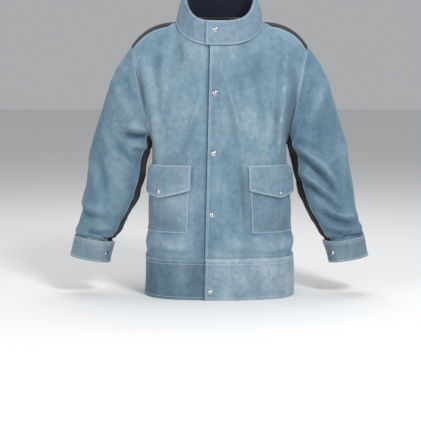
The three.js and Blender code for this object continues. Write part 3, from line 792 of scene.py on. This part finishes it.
left_rows = [
    ([fly_u(0.006, 0.1), fly_u(0.006, 0.68)], [0.03, 0.99]),
    ([0.992, 0.992], [0.52, 0.985]),
    ([0.972, 0.972], [0.52, 0.975]),
    ([SHARE_LEFT + (1 - SHARE_LEFT) * 0.47, 0.985], [0.985, 0.985]),
]
left_stitching = sew("left_front_stitching", left_place, left_rows, False)
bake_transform(left_stitching)
right_rows = [
    ([0.991, 0.991], [0.52, 0.985]),
    ([0.969, 0.969], [0.52, 0.975]),
    ([SHARE_RIGHT + (1 - SHARE_RIGHT) * 0.47, 0.985], [0.985, 0.985]),
    ([0.03, 0.03], [0.03, 0.99]),
]
sew("right_front_stitching", right_place, right_rows, True, "jacket_body")
band_rows = [([0.004, 0.996], [h, h]) for h in (0.94, 0.87, 0.07)]
left_band_stitching = sew(
    "left_band_stitching", left_band_place, band_rows + [([0.017, 0.019], [0.03, 0.97])], False
)
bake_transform(left_band_stitching)
sew("right_band_stitching", right_band_place, band_rows, True, "jacket_body")
sew("back_band_stitching", back_band_place, band_rows, False, "jacket_body")

# Collar: a wide leather stand with a tab that laps over at the front, sewn up from the neck seam. The tab's
# side is cut in one with the left part.
COLLAR_FOLD = math.atan2(FOLD_X, NECK_DEPTH)
TAB_EDGE = -math.atan2(0.038, NECK_DEPTH)
COLLAR_END = 2 * math.pi + math.atan2(0.010, NECK_DEPTH)
COLLAR_SIDE = math.radians(100)


def collar_top(angle):
    t = (1 - np.cos(angle)) / 2
    side = 0.066 + 0.018 * ease(t * 2)
    return neck_height(angle) + side + (0.082 - side) * ease(t * 2 - 1)


def collar_shell(angle, v):
    bottom = neck_seam(angle) + [0, 0, 0.0005]
    top = collar_top(angle)
    front, rear = front_line(top), 0.084 - 0.006
    r = round_radius(angle, 0.093, (rear - front) / 2, 2.7)
    rim = np.stack([r * np.sin(angle), (rear + front) / 2 - r * np.cos(angle), top], -1)
    return bottom + (rim - bottom) * v[..., None]


def collar_rise(angle):
    return 0.0068 - 0.006 * ease((angle - COLLAR_FOLD) / math.radians(35))


def collar_part(start, end):
    def surface(u, v):
        return collar_shell(start + (end - start) * u, v)

    def waves(p):
        lift = 0.0030 * rumple(p, 11, 21.3) + 0.0010 * rumple(p, 34, 2.2)
        seam = neck_height(np.arctan2(np.abs(p[..., 0]), NECK_MIDDLE - p[..., 1]))
        height = np.clip((p[..., 2] - seam) / 0.075, 0, 1)
        waver = 0.0015 * ease(height * 3) * np.sin(p[..., 0] * 55) * (1 - height)
        lift += 0.0025 * np.sin(height * math.pi) - waver
        flat = ease((np.abs(p[..., 0] + 0.014) - 0.026) / 0.04)
        return lift * (0.25 + 0.75 * flat) * ease(height / 0.15)

    def rise(u, v):
        return collar_rise(start + (end - start) * u) + LEATHER

    return surface, draped(surface, rise, waves), waves


collar_hide = split_leather("split_leather_collar", (0.95, 1, 1.05), 0.80)
tab_surface, tab_place, tab_waves = collar_part(TAB_EDGE, COLLAR_SIDE)
collar_left = lay_grid(
    "collar_left_and_tab", 110, 34, tab_place, False, LEATHER, collar_hide, None, ["collar_tab"],
    seam_marks(tab_surface, tab_waves, lambda u, v, p: [v * 0.07, (1 - v) * 0.07, u * 0.26]),
)
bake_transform(collar_left)
rest_surface, rest_place, rest_waves = collar_part(COLLAR_SIDE, COLLAR_END)
collar = lay_grid(
    "collar", 190, 34, rest_place, False, LEATHER, collar_hide, "jacket_body", ["collar_outer"],
    seam_marks(rest_surface, rest_waves, lambda u, v, p: [v * 0.07, (1 - v) * 0.07]),
)
tab_stitching = sew(
    "collar_tab_stitching", tab_place,
    [([0.02, 0.995], [0.07, 0.07]), ([0.02, 0.995], [0.93, 0.93]), ([0.022, 0.022], [0.07, 0.93])], False,
)
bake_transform(tab_stitching)
sew(
        "collar_stitching", rest_place,
        [([0.003, 0.99], [0.07, 0.07]), ([0.003, 0.99], [0.93, 0.93])], False, "jacket_body",
    )

# Collar lining: dark navy cotton, sewn just inside the collar and left short of its front ends.
navy = twill("navy_collar_lining", (0.008, 0.011, 0.024), (0.016, 0.021, 0.042), (0.030, 0.036, 0.060))
LINING_START = COLLAR_FOLD + (COLLAR_END - COLLAR_FOLD) * 3 / 36
LINING_END = COLLAR_FOLD + (COLLAR_END - COLLAR_FOLD) * 33 / 36


def lining_surface(u, v):
    return collar_shell(LINING_START + (LINING_END - LINING_START) * u, 0.012 + 0.988 * v)


lining = lay_grid(
    "collar_lining_cloth", 150, 24,
    draped(
        lining_surface,
        lambda u, v: collar_rise(LINING_START + (LINING_END - LINING_START) * u) - 0.0008,
        lambda p: -0.0012 * np.abs(rumple(p, 16, 30.1)),
    ),
    False, COTTON, navy, "jacket_body", ["collar_lining"],
)

# Hanging loop: a folded strip of the back's cotton, caught at both ends below the neck seam.


def loop_surface(u, v):
    at = 0.5 - 1 / 24 + u / 12
    low, high = whole_back(at, 0.8993 + 0 * v), whole_back(at, 0.9992 + 0 * v)
    return low + (high - low) * (0.62 + 0.23 * v)[..., None]


loop = lay_grid(
    "hanging_loop", 40, 6,
    draped(
        loop_surface,
        lambda u, v: -0.0016 - 0.012 * np.sin(math.pi * np.clip(u, 0, 1)) ** 0.7,
        lambda p: 0 * p[..., 0],
    ),
    False, COTTON, cotton, "jacket_body", ["hanger_loop"],
)

# Patch pockets: leather patches low on each side, sewn on three edges, standing out a little when empty. Each
# has a pointed flap, sewn above the mouth and closed with a press stud.
POCKET_TOP, POCKET_DEEP, POCKET_IN, POCKET_OUT = 0.343, 0.164, 33, 80


def pouch(u, v):
    return 0.0005 + 0.012 * np.sin(math.pi * np.clip(u, 0, 1)) ** 0.8 * ease(v / 0.35)


def pocket_surface(u, v):
    z = POCKET_TOP - POCKET_DEEP + POCKET_DEEP * v
    return section(np.radians(POCKET_IN + (POCKET_OUT - POCKET_IN) * u), z)


def flap_surface(u, v):
    drop = 0.090 - 0.022 * np.abs(2 * u - 1)
    return section(np.radians(POCKET_IN - 1.2 + (POCKET_OUT - POCKET_IN + 2.4) * u), 0.364 - (1 - v) * drop)


def flap_rise(u, v):
    rest = 0.0005
    return rest + (pouch(u, np.ones_like(u)) + LEATHER + 0.0043 - rest) * ease((1 - v) / 0.16)


def sag(side):
    def drape(p):
        x, z = p[..., 0] * side, p[..., 2]
        lift = 0.5 * front_drape(p, side)
        lift += 0.0026 * rumple(p * [side, 1, 1], 19, 14.0) + 0.0010 * rumple(p * [side, 1, 1], 45, 1.1)
        return lift * ease((z - 0.176) / 0.02)

    return drape


def hang(side):
    def drape(p):
        lift = 0.5 * front_drape(p, side) * ease((0.364 - p[..., 2]) / 0.02)
        bend = 0.0016 * rumple(p * [side, 1, 1], 24, 17.3)
        curl = 0.007 * ease((np.abs(p[..., 0]) - 0.172) / 0.022) * (1.0 if side > 0 else 0.2)
        return lift + (bend + curl) * ease((0.352 - p[..., 2]) / 0.02)

    return drape


pocket_hide = split_leather("split_leather_pockets", dark=0.86)
flap_hide = split_leather("split_leather_flaps", dark=0.92)
for side, mirror in (("left", False), ("right", True)):
    facing_side = -1 if mirror else 1
    pocket_place = draped(pocket_surface, lambda u, v: pouch(u, v) + LEATHER, sag(facing_side))
    pocket = lay_grid(
        f"pocket_{side}_patch", 56, 60, pocket_place, mirror, LEATHER, pocket_hide, "jacket_body",
        [f"pocket_{side}"],
        seam_marks(
            pocket_surface, sag(facing_side),
            lambda u, v, p: [u * 0.15, (1 - u) * 0.15, v * 0.17, (1 - v) * 0.17],
        ),
    )
    pocket_rows = [
        ([0.025, 0.025, 0.025, 0.975, 0.975, 0.975], [0.99, 0.4, 0.022, 0.022, 0.4, 0.99]),
        ([0.02, 0.98], [0.90, 0.90]),
    ]
    pocket_thread = sew(f"pocket_{side}_stitching", pocket_place, pocket_rows, mirror, "jacket_body")
    flap_place = draped(flap_surface, lambda u, v: flap_rise(u, v) + LEATHER, hang(facing_side))
    flap = lay_grid(
        f"flap_{side}", 64, 40, flap_place, mirror, LEATHER, flap_hide, None, [f"pocket_flap_{side}"],
        seam_marks(
            flap_surface, hang(facing_side),
            lambda u, v, p: [u * 0.16, (1 - u) * 0.16, v * 0.08, (1 - v) * 0.08],
        ),
    )
    flap_rows = [
        ([0.03, 0.03, 0.5, 0.97, 0.97], [0.95, 0.055, 0.05, 0.055, 0.95]),
        ([0.02, 0.98], [0.955, 0.955]),
    ]
    flap_stitching = sew(f"flap_{side}_stitching", flap_place, flap_rows, mirror)
    for piece in (flap, flap_stitching):
        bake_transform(piece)

# Sleeves: full leather in front, black cotton behind, joined along the inner and outer arm. They hang a
# little bent, crease at the elbow and crumple above the cuffs.
SLEEVE_INNER = (
    (0.186, 0.418), (0.190, 0.409), (0.194, 0.396), (0.200, 0.374), (0.207, 0.335), (0.217, 0.290),
    (0.240, 0.238), (0.268, 0.190), (0.287, 0.160),
)
SLEEVE_OUTER = (
    (0.243, 0.688), (0.277, 0.640), (0.306, 0.575), (0.334, 0.490), (0.355, 0.410), (0.369, 0.328),
    (0.381, 0.250), (0.392, 0.200), (0.401, 0.174),
)
SLEEVE_DEPTH = (
    (0.082, 0), (0.086, 0.002), (0.086, 0.004), (0.084, 0.005), (0.080, 0.005), (0.075, 0.002),
    (0.068, -0.006), (0.061, -0.014), (0.054, -0.020),
)
CUFF_TOP, CUFF_BOTTOM = np.array([0.351, -0.021, 0.155]), np.array([0.3635, -0.025, 0.098])
TUCK = LEATHER + 0.0006
ARMHOLE_OUT = np.array([0.688 - 0.418, 0, 0.186 - 0.243])
ARMHOLE_OUT = ARMHOLE_OUT / np.linalg.norm(ARMHOLE_OUT)


def cuff_point(theta, v, inset=0.0):
    r = round_radius(theta, 1, 1, 2.2)
    x, y = -(0.053 - inset) * r * np.cos(theta), -(0.047 - inset) * r * np.sin(theta)
    middle = CUFF_BOTTOM + (CUFF_TOP - CUFF_BOTTOM) * np.asarray(v)[..., None]
    return middle + np.stack([x, y, x * 0.17], -1)


def smooth_line(points):
    """A curve through the points whose speed follows the square root of their distances."""
    p = np.array(points)
    p = np.concatenate([2 * p[:1] - p[1:2], p, 2 * p[-1:] - p[-2:-1]])
    gap = np.sum(np.diff(p, axis=0) ** 2, axis=1) ** 0.25

    def at(t):
        k = np.clip(np.floor(t * (len(points) - 1)).astype(int), 0, len(points) - 2)
        s = (t * (len(points) - 1) - k)[..., None]
        p0, p1, p2, p3 = (p[k + j] for j in range(4))
        g0, g1, g2 = (gap[k + j][..., None] for j in range(3))
        leave = ((p1 - p0) / g0 - (p2 - p0) / (g0 + g1) + (p2 - p1) / g1) * g1
        arrive = ((p2 - p1) / g1 - (p3 - p1) / (g1 + g2) + (p3 - p2) / g2) * g1
        square = (3 * (p2 - p1) - 2 * leave - arrive) * s**2
        return p1 + leave * s + square + (2 * (p1 - p2) + leave + arrive) * s**3

    return at


def sleeve_end(theta, v):
    p = cuff_point(np.array(theta), np.array(v), TUCK)
    return (p[0], 0, p[2])


gap_step = ARMHOLE_OUT * 0.0004
inner_line = smooth_line(
    [(SLEEVE_INNER[0][0] + gap_step[0], 0, SLEEVE_INNER[0][1] + gap_step[2])]
    + [(x, 0, z) for x, z in SLEEVE_INNER[1:]] + [sleeve_end(0.0, 1.06), sleeve_end(0.0, 0.6)]
)
outer_line = smooth_line(
    [(SLEEVE_OUTER[0][0] + gap_step[0], 0, SLEEVE_OUTER[0][1] + gap_step[2])]
    + [(x, 0, z) for x, z in SLEEVE_OUTER[1:]] + [sleeve_end(math.pi, 1.06), sleeve_end(math.pi, 0.6)]
)
depth_line = smooth_line(
    [(d, y, 0) for d, y in SLEEVE_DEPTH]
    + [(0.047 - TUCK, -0.021, 0), (0.047 - TUCK, -0.025 + 0.004 * 0.6, 0)]
)


def sleeve_shell(theta, v):
    t = 1 - v
    inner, outer, depth = inner_line(t), outer_line(t), depth_line(t)
    power = 2 + 0.2 * ease(t * 8)
    r = (np.abs(np.sin(theta)) ** power + np.abs(np.cos(theta)) ** power) ** (-1 / power)
    p = (inner + outer) / 2 - (outer - inner) * (0.5 * r * np.cos(theta))[..., None]
    p[..., 1] = depth[..., 1] - depth[..., 0] * r * np.sin(theta)
    return p


SLEEVE_FOLDS = (
    # the wearer's right
    (-15, 10, (-262, 446), (-226, 440), (-188, 436)),
    (9, 11, (-258, 470), (-220, 462), (-192, 458)),
    (9, 10, (-250, 418), (-226, 414), (-196, 410)),
    (8, 14, (-356, 398), (-344, 330), (-326, 262)),
    (-6, 12, (-338, 400), (-324, 330), (-310, 270)),
    (8, 11, (-386, 260), (-350, 240), (-312, 236)),
    (-7, 10, (-380, 236), (-350, 220), (-300, 214)),
    (8, 10, (-366, 200), (-330, 188), (-290, 186)),
    (-6, 9, (-372, 180), (-340, 172), (-300, 168)),
    (7, 16, (-300, 600), (-262, 540), (-236, 480)),
    (-5, 14, (-276, 610), (-246, 560), (-226, 500)),
    (6, 13, (-330, 470), (-290, 400), (-240, 360)),
    (-6, 12, (-310, 460), (-272, 400), (-226, 368)),
    (6, 12, (-300, 330), (-262, 290), (-238, 262)),
    # the wearer's left
    (12, 8.5, (203, 414), (276, 366), (338, 286)),
    (-12, 8.5, (206, 390), (266, 348), (326, 272)),
    (10, 9, (215, 346), (272, 306), (338, 252)),
    (-8, 9, (226, 316), (272, 284), (330, 236)),
    (10, 8, (278, 252), (330, 226), (384, 218)),
    (-9, 8, (272, 232), (326, 206), (388, 198)),
    (7, 9, (288, 196), (336, 186), (392, 190)),
    (-5, 8, (300, 176), (340, 168), (390, 172)),
    (8, 16, (300, 600), (268, 540), (236, 470)),
    (-6, 14, (270, 610), (246, 550), (218, 480)),
    (7, 14, (345, 430), (318, 380), (262, 372)),
    (6, 12, (216, 440), (250, 430), (300, 400)),
)


def sleeve_drape(theta, v, p, side):
    x, z = p[..., 0] * side, p[..., 2]
    front = ease(0.5 + 1.6 * np.sin(theta))
    lift = folded(x, z, SLEEVE_FOLDS) * front
    ring = np.stack([1.1 * np.cos(theta), 1.1 * np.sin(theta), 11 * v + 1.3 * np.cos(theta)], -1)
    crush = rumple(ring, 1, 40.2 + 7 * side)
    fine = rumple(ring * [2.2, 2.2, 2.4], 1, 11.8 + 3 * side)
    elbow = np.exp(-(((v - 0.42) / 0.16) ** 2))
    wrist = np.exp(-(((v - 0.13) / 0.09) ** 2))
    crumpled = (0.003 + 0.006 * elbow + 0.007 * wrist) * crush * (1 - 0.45 * front)
    lift += crumpled + (0.0015 + 0.003 * wrist) * fine
    lift += 0.0035 * ease((v - 0.72) / 0.1) * ease((0.97 - v) / 0.1) * np.sin(theta) ** 2
    return lift * ease((0.985 - v) / 0.07) * ease((v - 0.045) / 0.05)


SLEEVE_SPLIT = (math.radians(38), math.radians(185), math.radians(398))
sleeve_hide = split_leather("split_leather_sleeves", (0.83, 0.955, 1), 0.75)
for side, mirror in (("left", False), ("right", True)):
    facing_side = -1 if mirror else 1
    for part, first, last, thick, finish, slot in (
        ("front", SLEEVE_SPLIT[0], SLEEVE_SPLIT[1], LEATHER, sleeve_hide, "split_leather"),
        ("back", SLEEVE_SPLIT[1], SLEEVE_SPLIT[2], COTTON, cotton, "cotton_back"),
    ):

        def theta_at(u, first=first, last=last):
            return first + 0.0035 + (last - first - 0.007) * u

        def sleeve_surface(u, v):
            return sleeve_shell(theta_at(u), v)

        def sleeve_place(u, v):
            p = sleeve_surface(u, v)
            lift = sleeve_drape(theta_at(u), v, p, facing_side)
            out = facing(sleeve_surface, u, v)
            into = np.maximum(0, -(out @ ARMHOLE_OUT)) * ease((v - 0.85) / 0.15)
            return p + (out + into[..., None] * ARMHOLE_OUT) * lift[..., None]

        def sleeve_marks(u, v):
            lift = sleeve_drape(theta_at(u), v, sleeve_surface(u, v), facing_side)
            edge = np.exp(-(((1 - v) * 0.55 / 0.004) ** 2)) * 0.8
            # Paler on fold crests: partly rubbed nap, partly painted highlight.
            rub_and_highlight = np.clip((lift - 0.002) / 0.010, 0, 1) ** 1.5 * 0.5
            # Painted shade in the sleeve's fold hollows.
            return {"wear": np.clip(rub_and_highlight + edge, 0, 1), "hollow": np.clip(-lift / 0.010, 0, 0.8)}

        sleeve = lay_grid(
            f"sleeve_{side}_{part}_half", 84, 170, sleeve_place, mirror, thick, finish, None,
            [f"sleeve_{side}_{part}"], sleeve_marks,
        )
        pieces = [sleeve]
        if part == "front":
            rows = [([0.012, 0.012], [0.06, 0.985]), ([0.988, 0.988], [0.06, 0.985])]
            pieces.append(sew(f"sleeve_{side}_stitching", sleeve_place, rows, mirror))
        for piece in pieces:
            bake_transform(piece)

# Cuffs: a leather band round each sleeve end, topstitched twice along its upper edge. Its raised end, at the
# front, closes on the other end with a press stud.
CUFF_TAB_END, CUFF_FOLD, CUFF_JOIN, CUFF_UNDER = (math.radians(a) for a in (12, 100, 165, 430))


def cuff_rise(theta):
    return 0.0046 - 0.0066 * ease((theta - CUFF_FOLD) / math.radians(45))


cuff_hide = split_leather("split_leather_cuffs", (1.03, 1, 0.97), 0.77)
for side, mirror in (("left", False), ("right", True)):
    facing_side = -1 if mirror else 1
    for part, first, last, columns, nodes in (
        ("tab", CUFF_TAB_END, CUFF_JOIN, 50, [f"cuff_tab_{side}"]),
        ("band", CUFF_JOIN, CUFF_UNDER, 90, [f"cuff_{side}"]),
    ):

        def cuff_surface(u, v, first=first, last=last):
            return cuff_point(first + (last - first) * u, v)

        def cuff_waves(p):
            return 0.0016 * rumple(p * [facing_side, 1, 1], 26, 33.0)

        cuff_place = draped(
            cuff_surface,
            lambda u, v, first=first, last=last: cuff_rise(first + (last - first) * u) + LEATHER,
            cuff_waves
        )
        if part == "tab":
            flat_place, turn_up = cuff_place, 0.011 if side == "left" else 0.003

            def cuff_place(u, v, flat_place=flat_place, turn_up=turn_up):
                corner = ease(1 - u / 0.32) * ease((v - 0.35) / 0.65)
                return flat_place(u, v) + corner[..., None] * np.array([-0.55, -0.45, 0.55]) * turn_up

        reach = (last - first) * 0.05
        cuff = lay_grid(
            f"cuff_{side}_{part}", columns, 22, cuff_place, mirror, LEATHER, cuff_hide,
            f"sleeve_{side}" if part == "band" else None, nodes,
            seam_marks(
                cuff_surface, cuff_waves,
                lambda u, v, p: [v * 0.058, (1 - v) * 0.058] + ([u * reach] if part == "tab" else []),
            ),
        )
        rows = [([0.02, 0.995], [h, h]) for h in (0.93, 0.84, 0.08)]
        if part == "tab":
            rows.append(([0.035, 0.035], [0.08, 0.93]))
        rides_on = f"sleeve_{side}" if part == "band" else None
        stitching = sew(f"cuff_{side}_{part}_stitching", cuff_place, rows, mirror, rides_on)
        if part == "tab":
            fold = cuff_point(np.array(CUFF_FOLD), np.array(0.5))
            for piece in (cuff, stitching):
                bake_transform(piece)

# Press studs: nickel-plated brass. A domed cap with a rolled rim sits over a spring socket through the upper
# layer; the stud and its eyelet post are set in the layer beneath.
nickel = bpy.data.materials.new("bright_nickel")
nickel.use_nodes = True
plating = nickel.node_tree.nodes["Principled BSDF"]
plating.inputs["Metallic"].default_value = 1
plating.inputs["Base Color"].default_value = (0.62, 0.62, 0.61, 1)
scuffs = nickel.node_tree.nodes.new("ShaderNodeTexNoise")
scuffs.inputs["Scale"].default_value = 900
scuffs.inputs["Detail"].default_value = 5
on_stud = nickel.node_tree.nodes.new("ShaderNodeTexCoord").outputs["Object"]
nickel.node_tree.links.new(on_stud, scuffs.inputs["Vector"])
polish = nickel.node_tree.nodes.new("ShaderNodeMapRange")
polish.inputs["To Min"].default_value = 0.05
polish.inputs["To Max"].default_value = 0.24
nickel.node_tree.links.new(scuffs.outputs["Fac"], polish.inputs["Value"])
nickel.node_tree.links.new(polish.outputs["Result"], plating.inputs["Roughness"])


def turned(shape, profile, steps=24):
    first = [shape.verts.new((r, 0, z)) for r, z in profile]
    edges = [shape.edges.new(pair) for pair in zip(first, first[1:])]
    bmesh.ops.spin(
        shape, geom=first + edges, cent=(0, 0, 0), axis=(0, 0, 1), angle=2 * math.pi, steps=steps,
        use_merge=True, use_normal_flip=False, use_duplicate=False,
    )
    bmesh.ops.remove_doubles(shape, verts=shape.verts, dist=1e-6)


def stud_part(name, profiles, point, normal, mirror, body, nodes):
    shape = bmesh.new()
    for profile in profiles:
        turned(shape, profile)
    bmesh.ops.recalc_face_normals(shape, faces=shape.faces)
    turn = Vector((0, 0, 1)).rotation_difference(Vector(normal)).to_matrix().to_4x4()
    seat = Matrix.Translation(Vector(point)) @ turn
    bmesh.ops.transform(shape, matrix=seat, verts=shape.verts)
    if mirror:
        bmesh.ops.scale(shape, vec=(-1, 1, 1), verts=shape.verts)
        bmesh.ops.reverse_faces(shape, faces=shape.faces)
    bmesh.ops.translate(shape, vec=(0, MIDDLE, 0), verts=shape.verts)
    for face in shape.faces:
        face.smooth = True
    mesh = bpy.data.meshes.new(name)
    shape.to_mesh(mesh)
    shape.free()
    mesh.materials.append(nickel)
    part = bpy.data.objects.new(name, mesh)
    bpy.context.scene.collection.objects.link(part)
    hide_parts(*nodes)
    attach(part, body)


def press_stud(name, point, normal, lift, sag, upper, lower, mirror=False):
    mm = 0.001
    under = -(2 + 4 + sag)
    socket = -2 - 0.3 - sag
    cap = 0.3 + sag * 0.7
    seat = np.array(point) + np.array(normal) * lift
    dome = [
        (0, socket - 1), (1.9, socket - 1), (1.9, cap), (6.0, cap), (6.3, cap + 0.1), (6.45, cap + 0.5),
        (6.3, cap + 0.9), (5.9, cap + 1.05), (5.5, cap + 1.0),
        (5.2, cap + 1.15), (4.2, cap + 1.9), (2.6, cap + 2.4),
        (1.2, cap + 2.58), (0, cap + 2.6),
    ]
    spring = [
        (3.2, socket - 2), (4.9, socket - 2), (5.2, socket - 1.7),
        (5.2, socket - 0.2), (5.0, socket), (2.3, socket),
        (2.3, socket - 1), (3.2, socket - 1), (3.2, socket - 2),
    ]
    stud = [
        (0, under + 0.3), (4.8, under + 0.3), (5.0, under + 0.5), (5.0, under + 1.1), (4.8, under + 1.3),
        (2.4, under + 1.3), (2.3, under + 1.7), (2.5, under + 2.1), (2.2, under + 2.3), (0, under + 2.3),
    ]
    post = [
        (0, under - 3.3 - sag), (4.8, under - 3.3 - sag), (5.0, under - 3.1 - sag), (5.0, under - 2.5 - sag),
        (4.8, under - 2.3 - sag), (1.8, under - 2.3 - sag), (1.8, under), (0, under),
    ]
    scaled = [[(r * mm, z * mm) for r, z in profile] for profile in (dome, spring, stud, post)]
    stud_part(f"{name}_top", scaled[:2], seat, normal, mirror, upper, [f"{name}_cap", f"{name}_socket"])
    stud_part(f"{name}_base", scaled[2:], seat, normal, mirror, lower, [f"{name}_stud", f"{name}_post"])


STRIP_OUT = np.array([0, -1, FRONT_SLOPE]) / math.hypot(1, FRONT_SLOPE)
for name, z, lift in (
    ("fly_snap_1", 0.231, 0.006),
    ("fly_snap_2", 0.396, 0.006),
    ("fly_snap_3", 0.558, 0.006),
    ("hem_snap", 0.022, 0.0084),
):
    spot = (fly_edge(z) + 0.016, front_line(z), z)
    press_stud(name, spot, STRIP_OUT, lift, 0, "front_fly", "jacket_body")
collar_spot = -math.atan2(0.002 - fly_edge(NECK_FRONT) - 0.016, NECK_DEPTH)


def near_collar_spot(u, v):
    return collar_shell(collar_spot - 0.5 + u, v)


where_u, where_v = np.array([0.5]), np.array([(0.727 - NECK_FRONT) / 0.066])
press_stud(
    "collar_snap", near_collar_spot(where_u, where_v)[0], facing(near_collar_spot, where_u, where_v)[0],
    0.0088, 0.2, "front_fly", "jacket_body",
)
where_v = np.array([0.2])
pocket_spot = flap_surface(where_u, where_v)[0]
pocket_out = facing(pocket_surface, where_u, np.array([0.5]))[0] * [1, 1, 0]
pocket_out /= np.linalg.norm(pocket_out)
pocket_lift = float(flap_rise(where_u, np.array([0.0]))[0]) + LEATHER
cuff_spot, where_v = math.radians(43), np.array([0.45])


def near_cuff_spot(u, v):
    return cuff_point(cuff_spot - 0.5 + u, v)


for side, mirror in (("left", False), ("right", True)):
    press_stud(
        f"pocket_snap_{side}", pocket_spot, pocket_out, pocket_lift, 0.3,
        f"pocket_flap_{side}", "jacket_body", mirror
    )
    press_stud(
        f"cuff_snap_{side}", near_cuff_spot(where_u, where_v)[0], facing(near_cuff_spot, where_u, where_v)[0],
        0.0066, 0.6, f"cuff_tab_{side}", f"sleeve_{side}", mirror,
    )

bpy.context.view_layer.update()
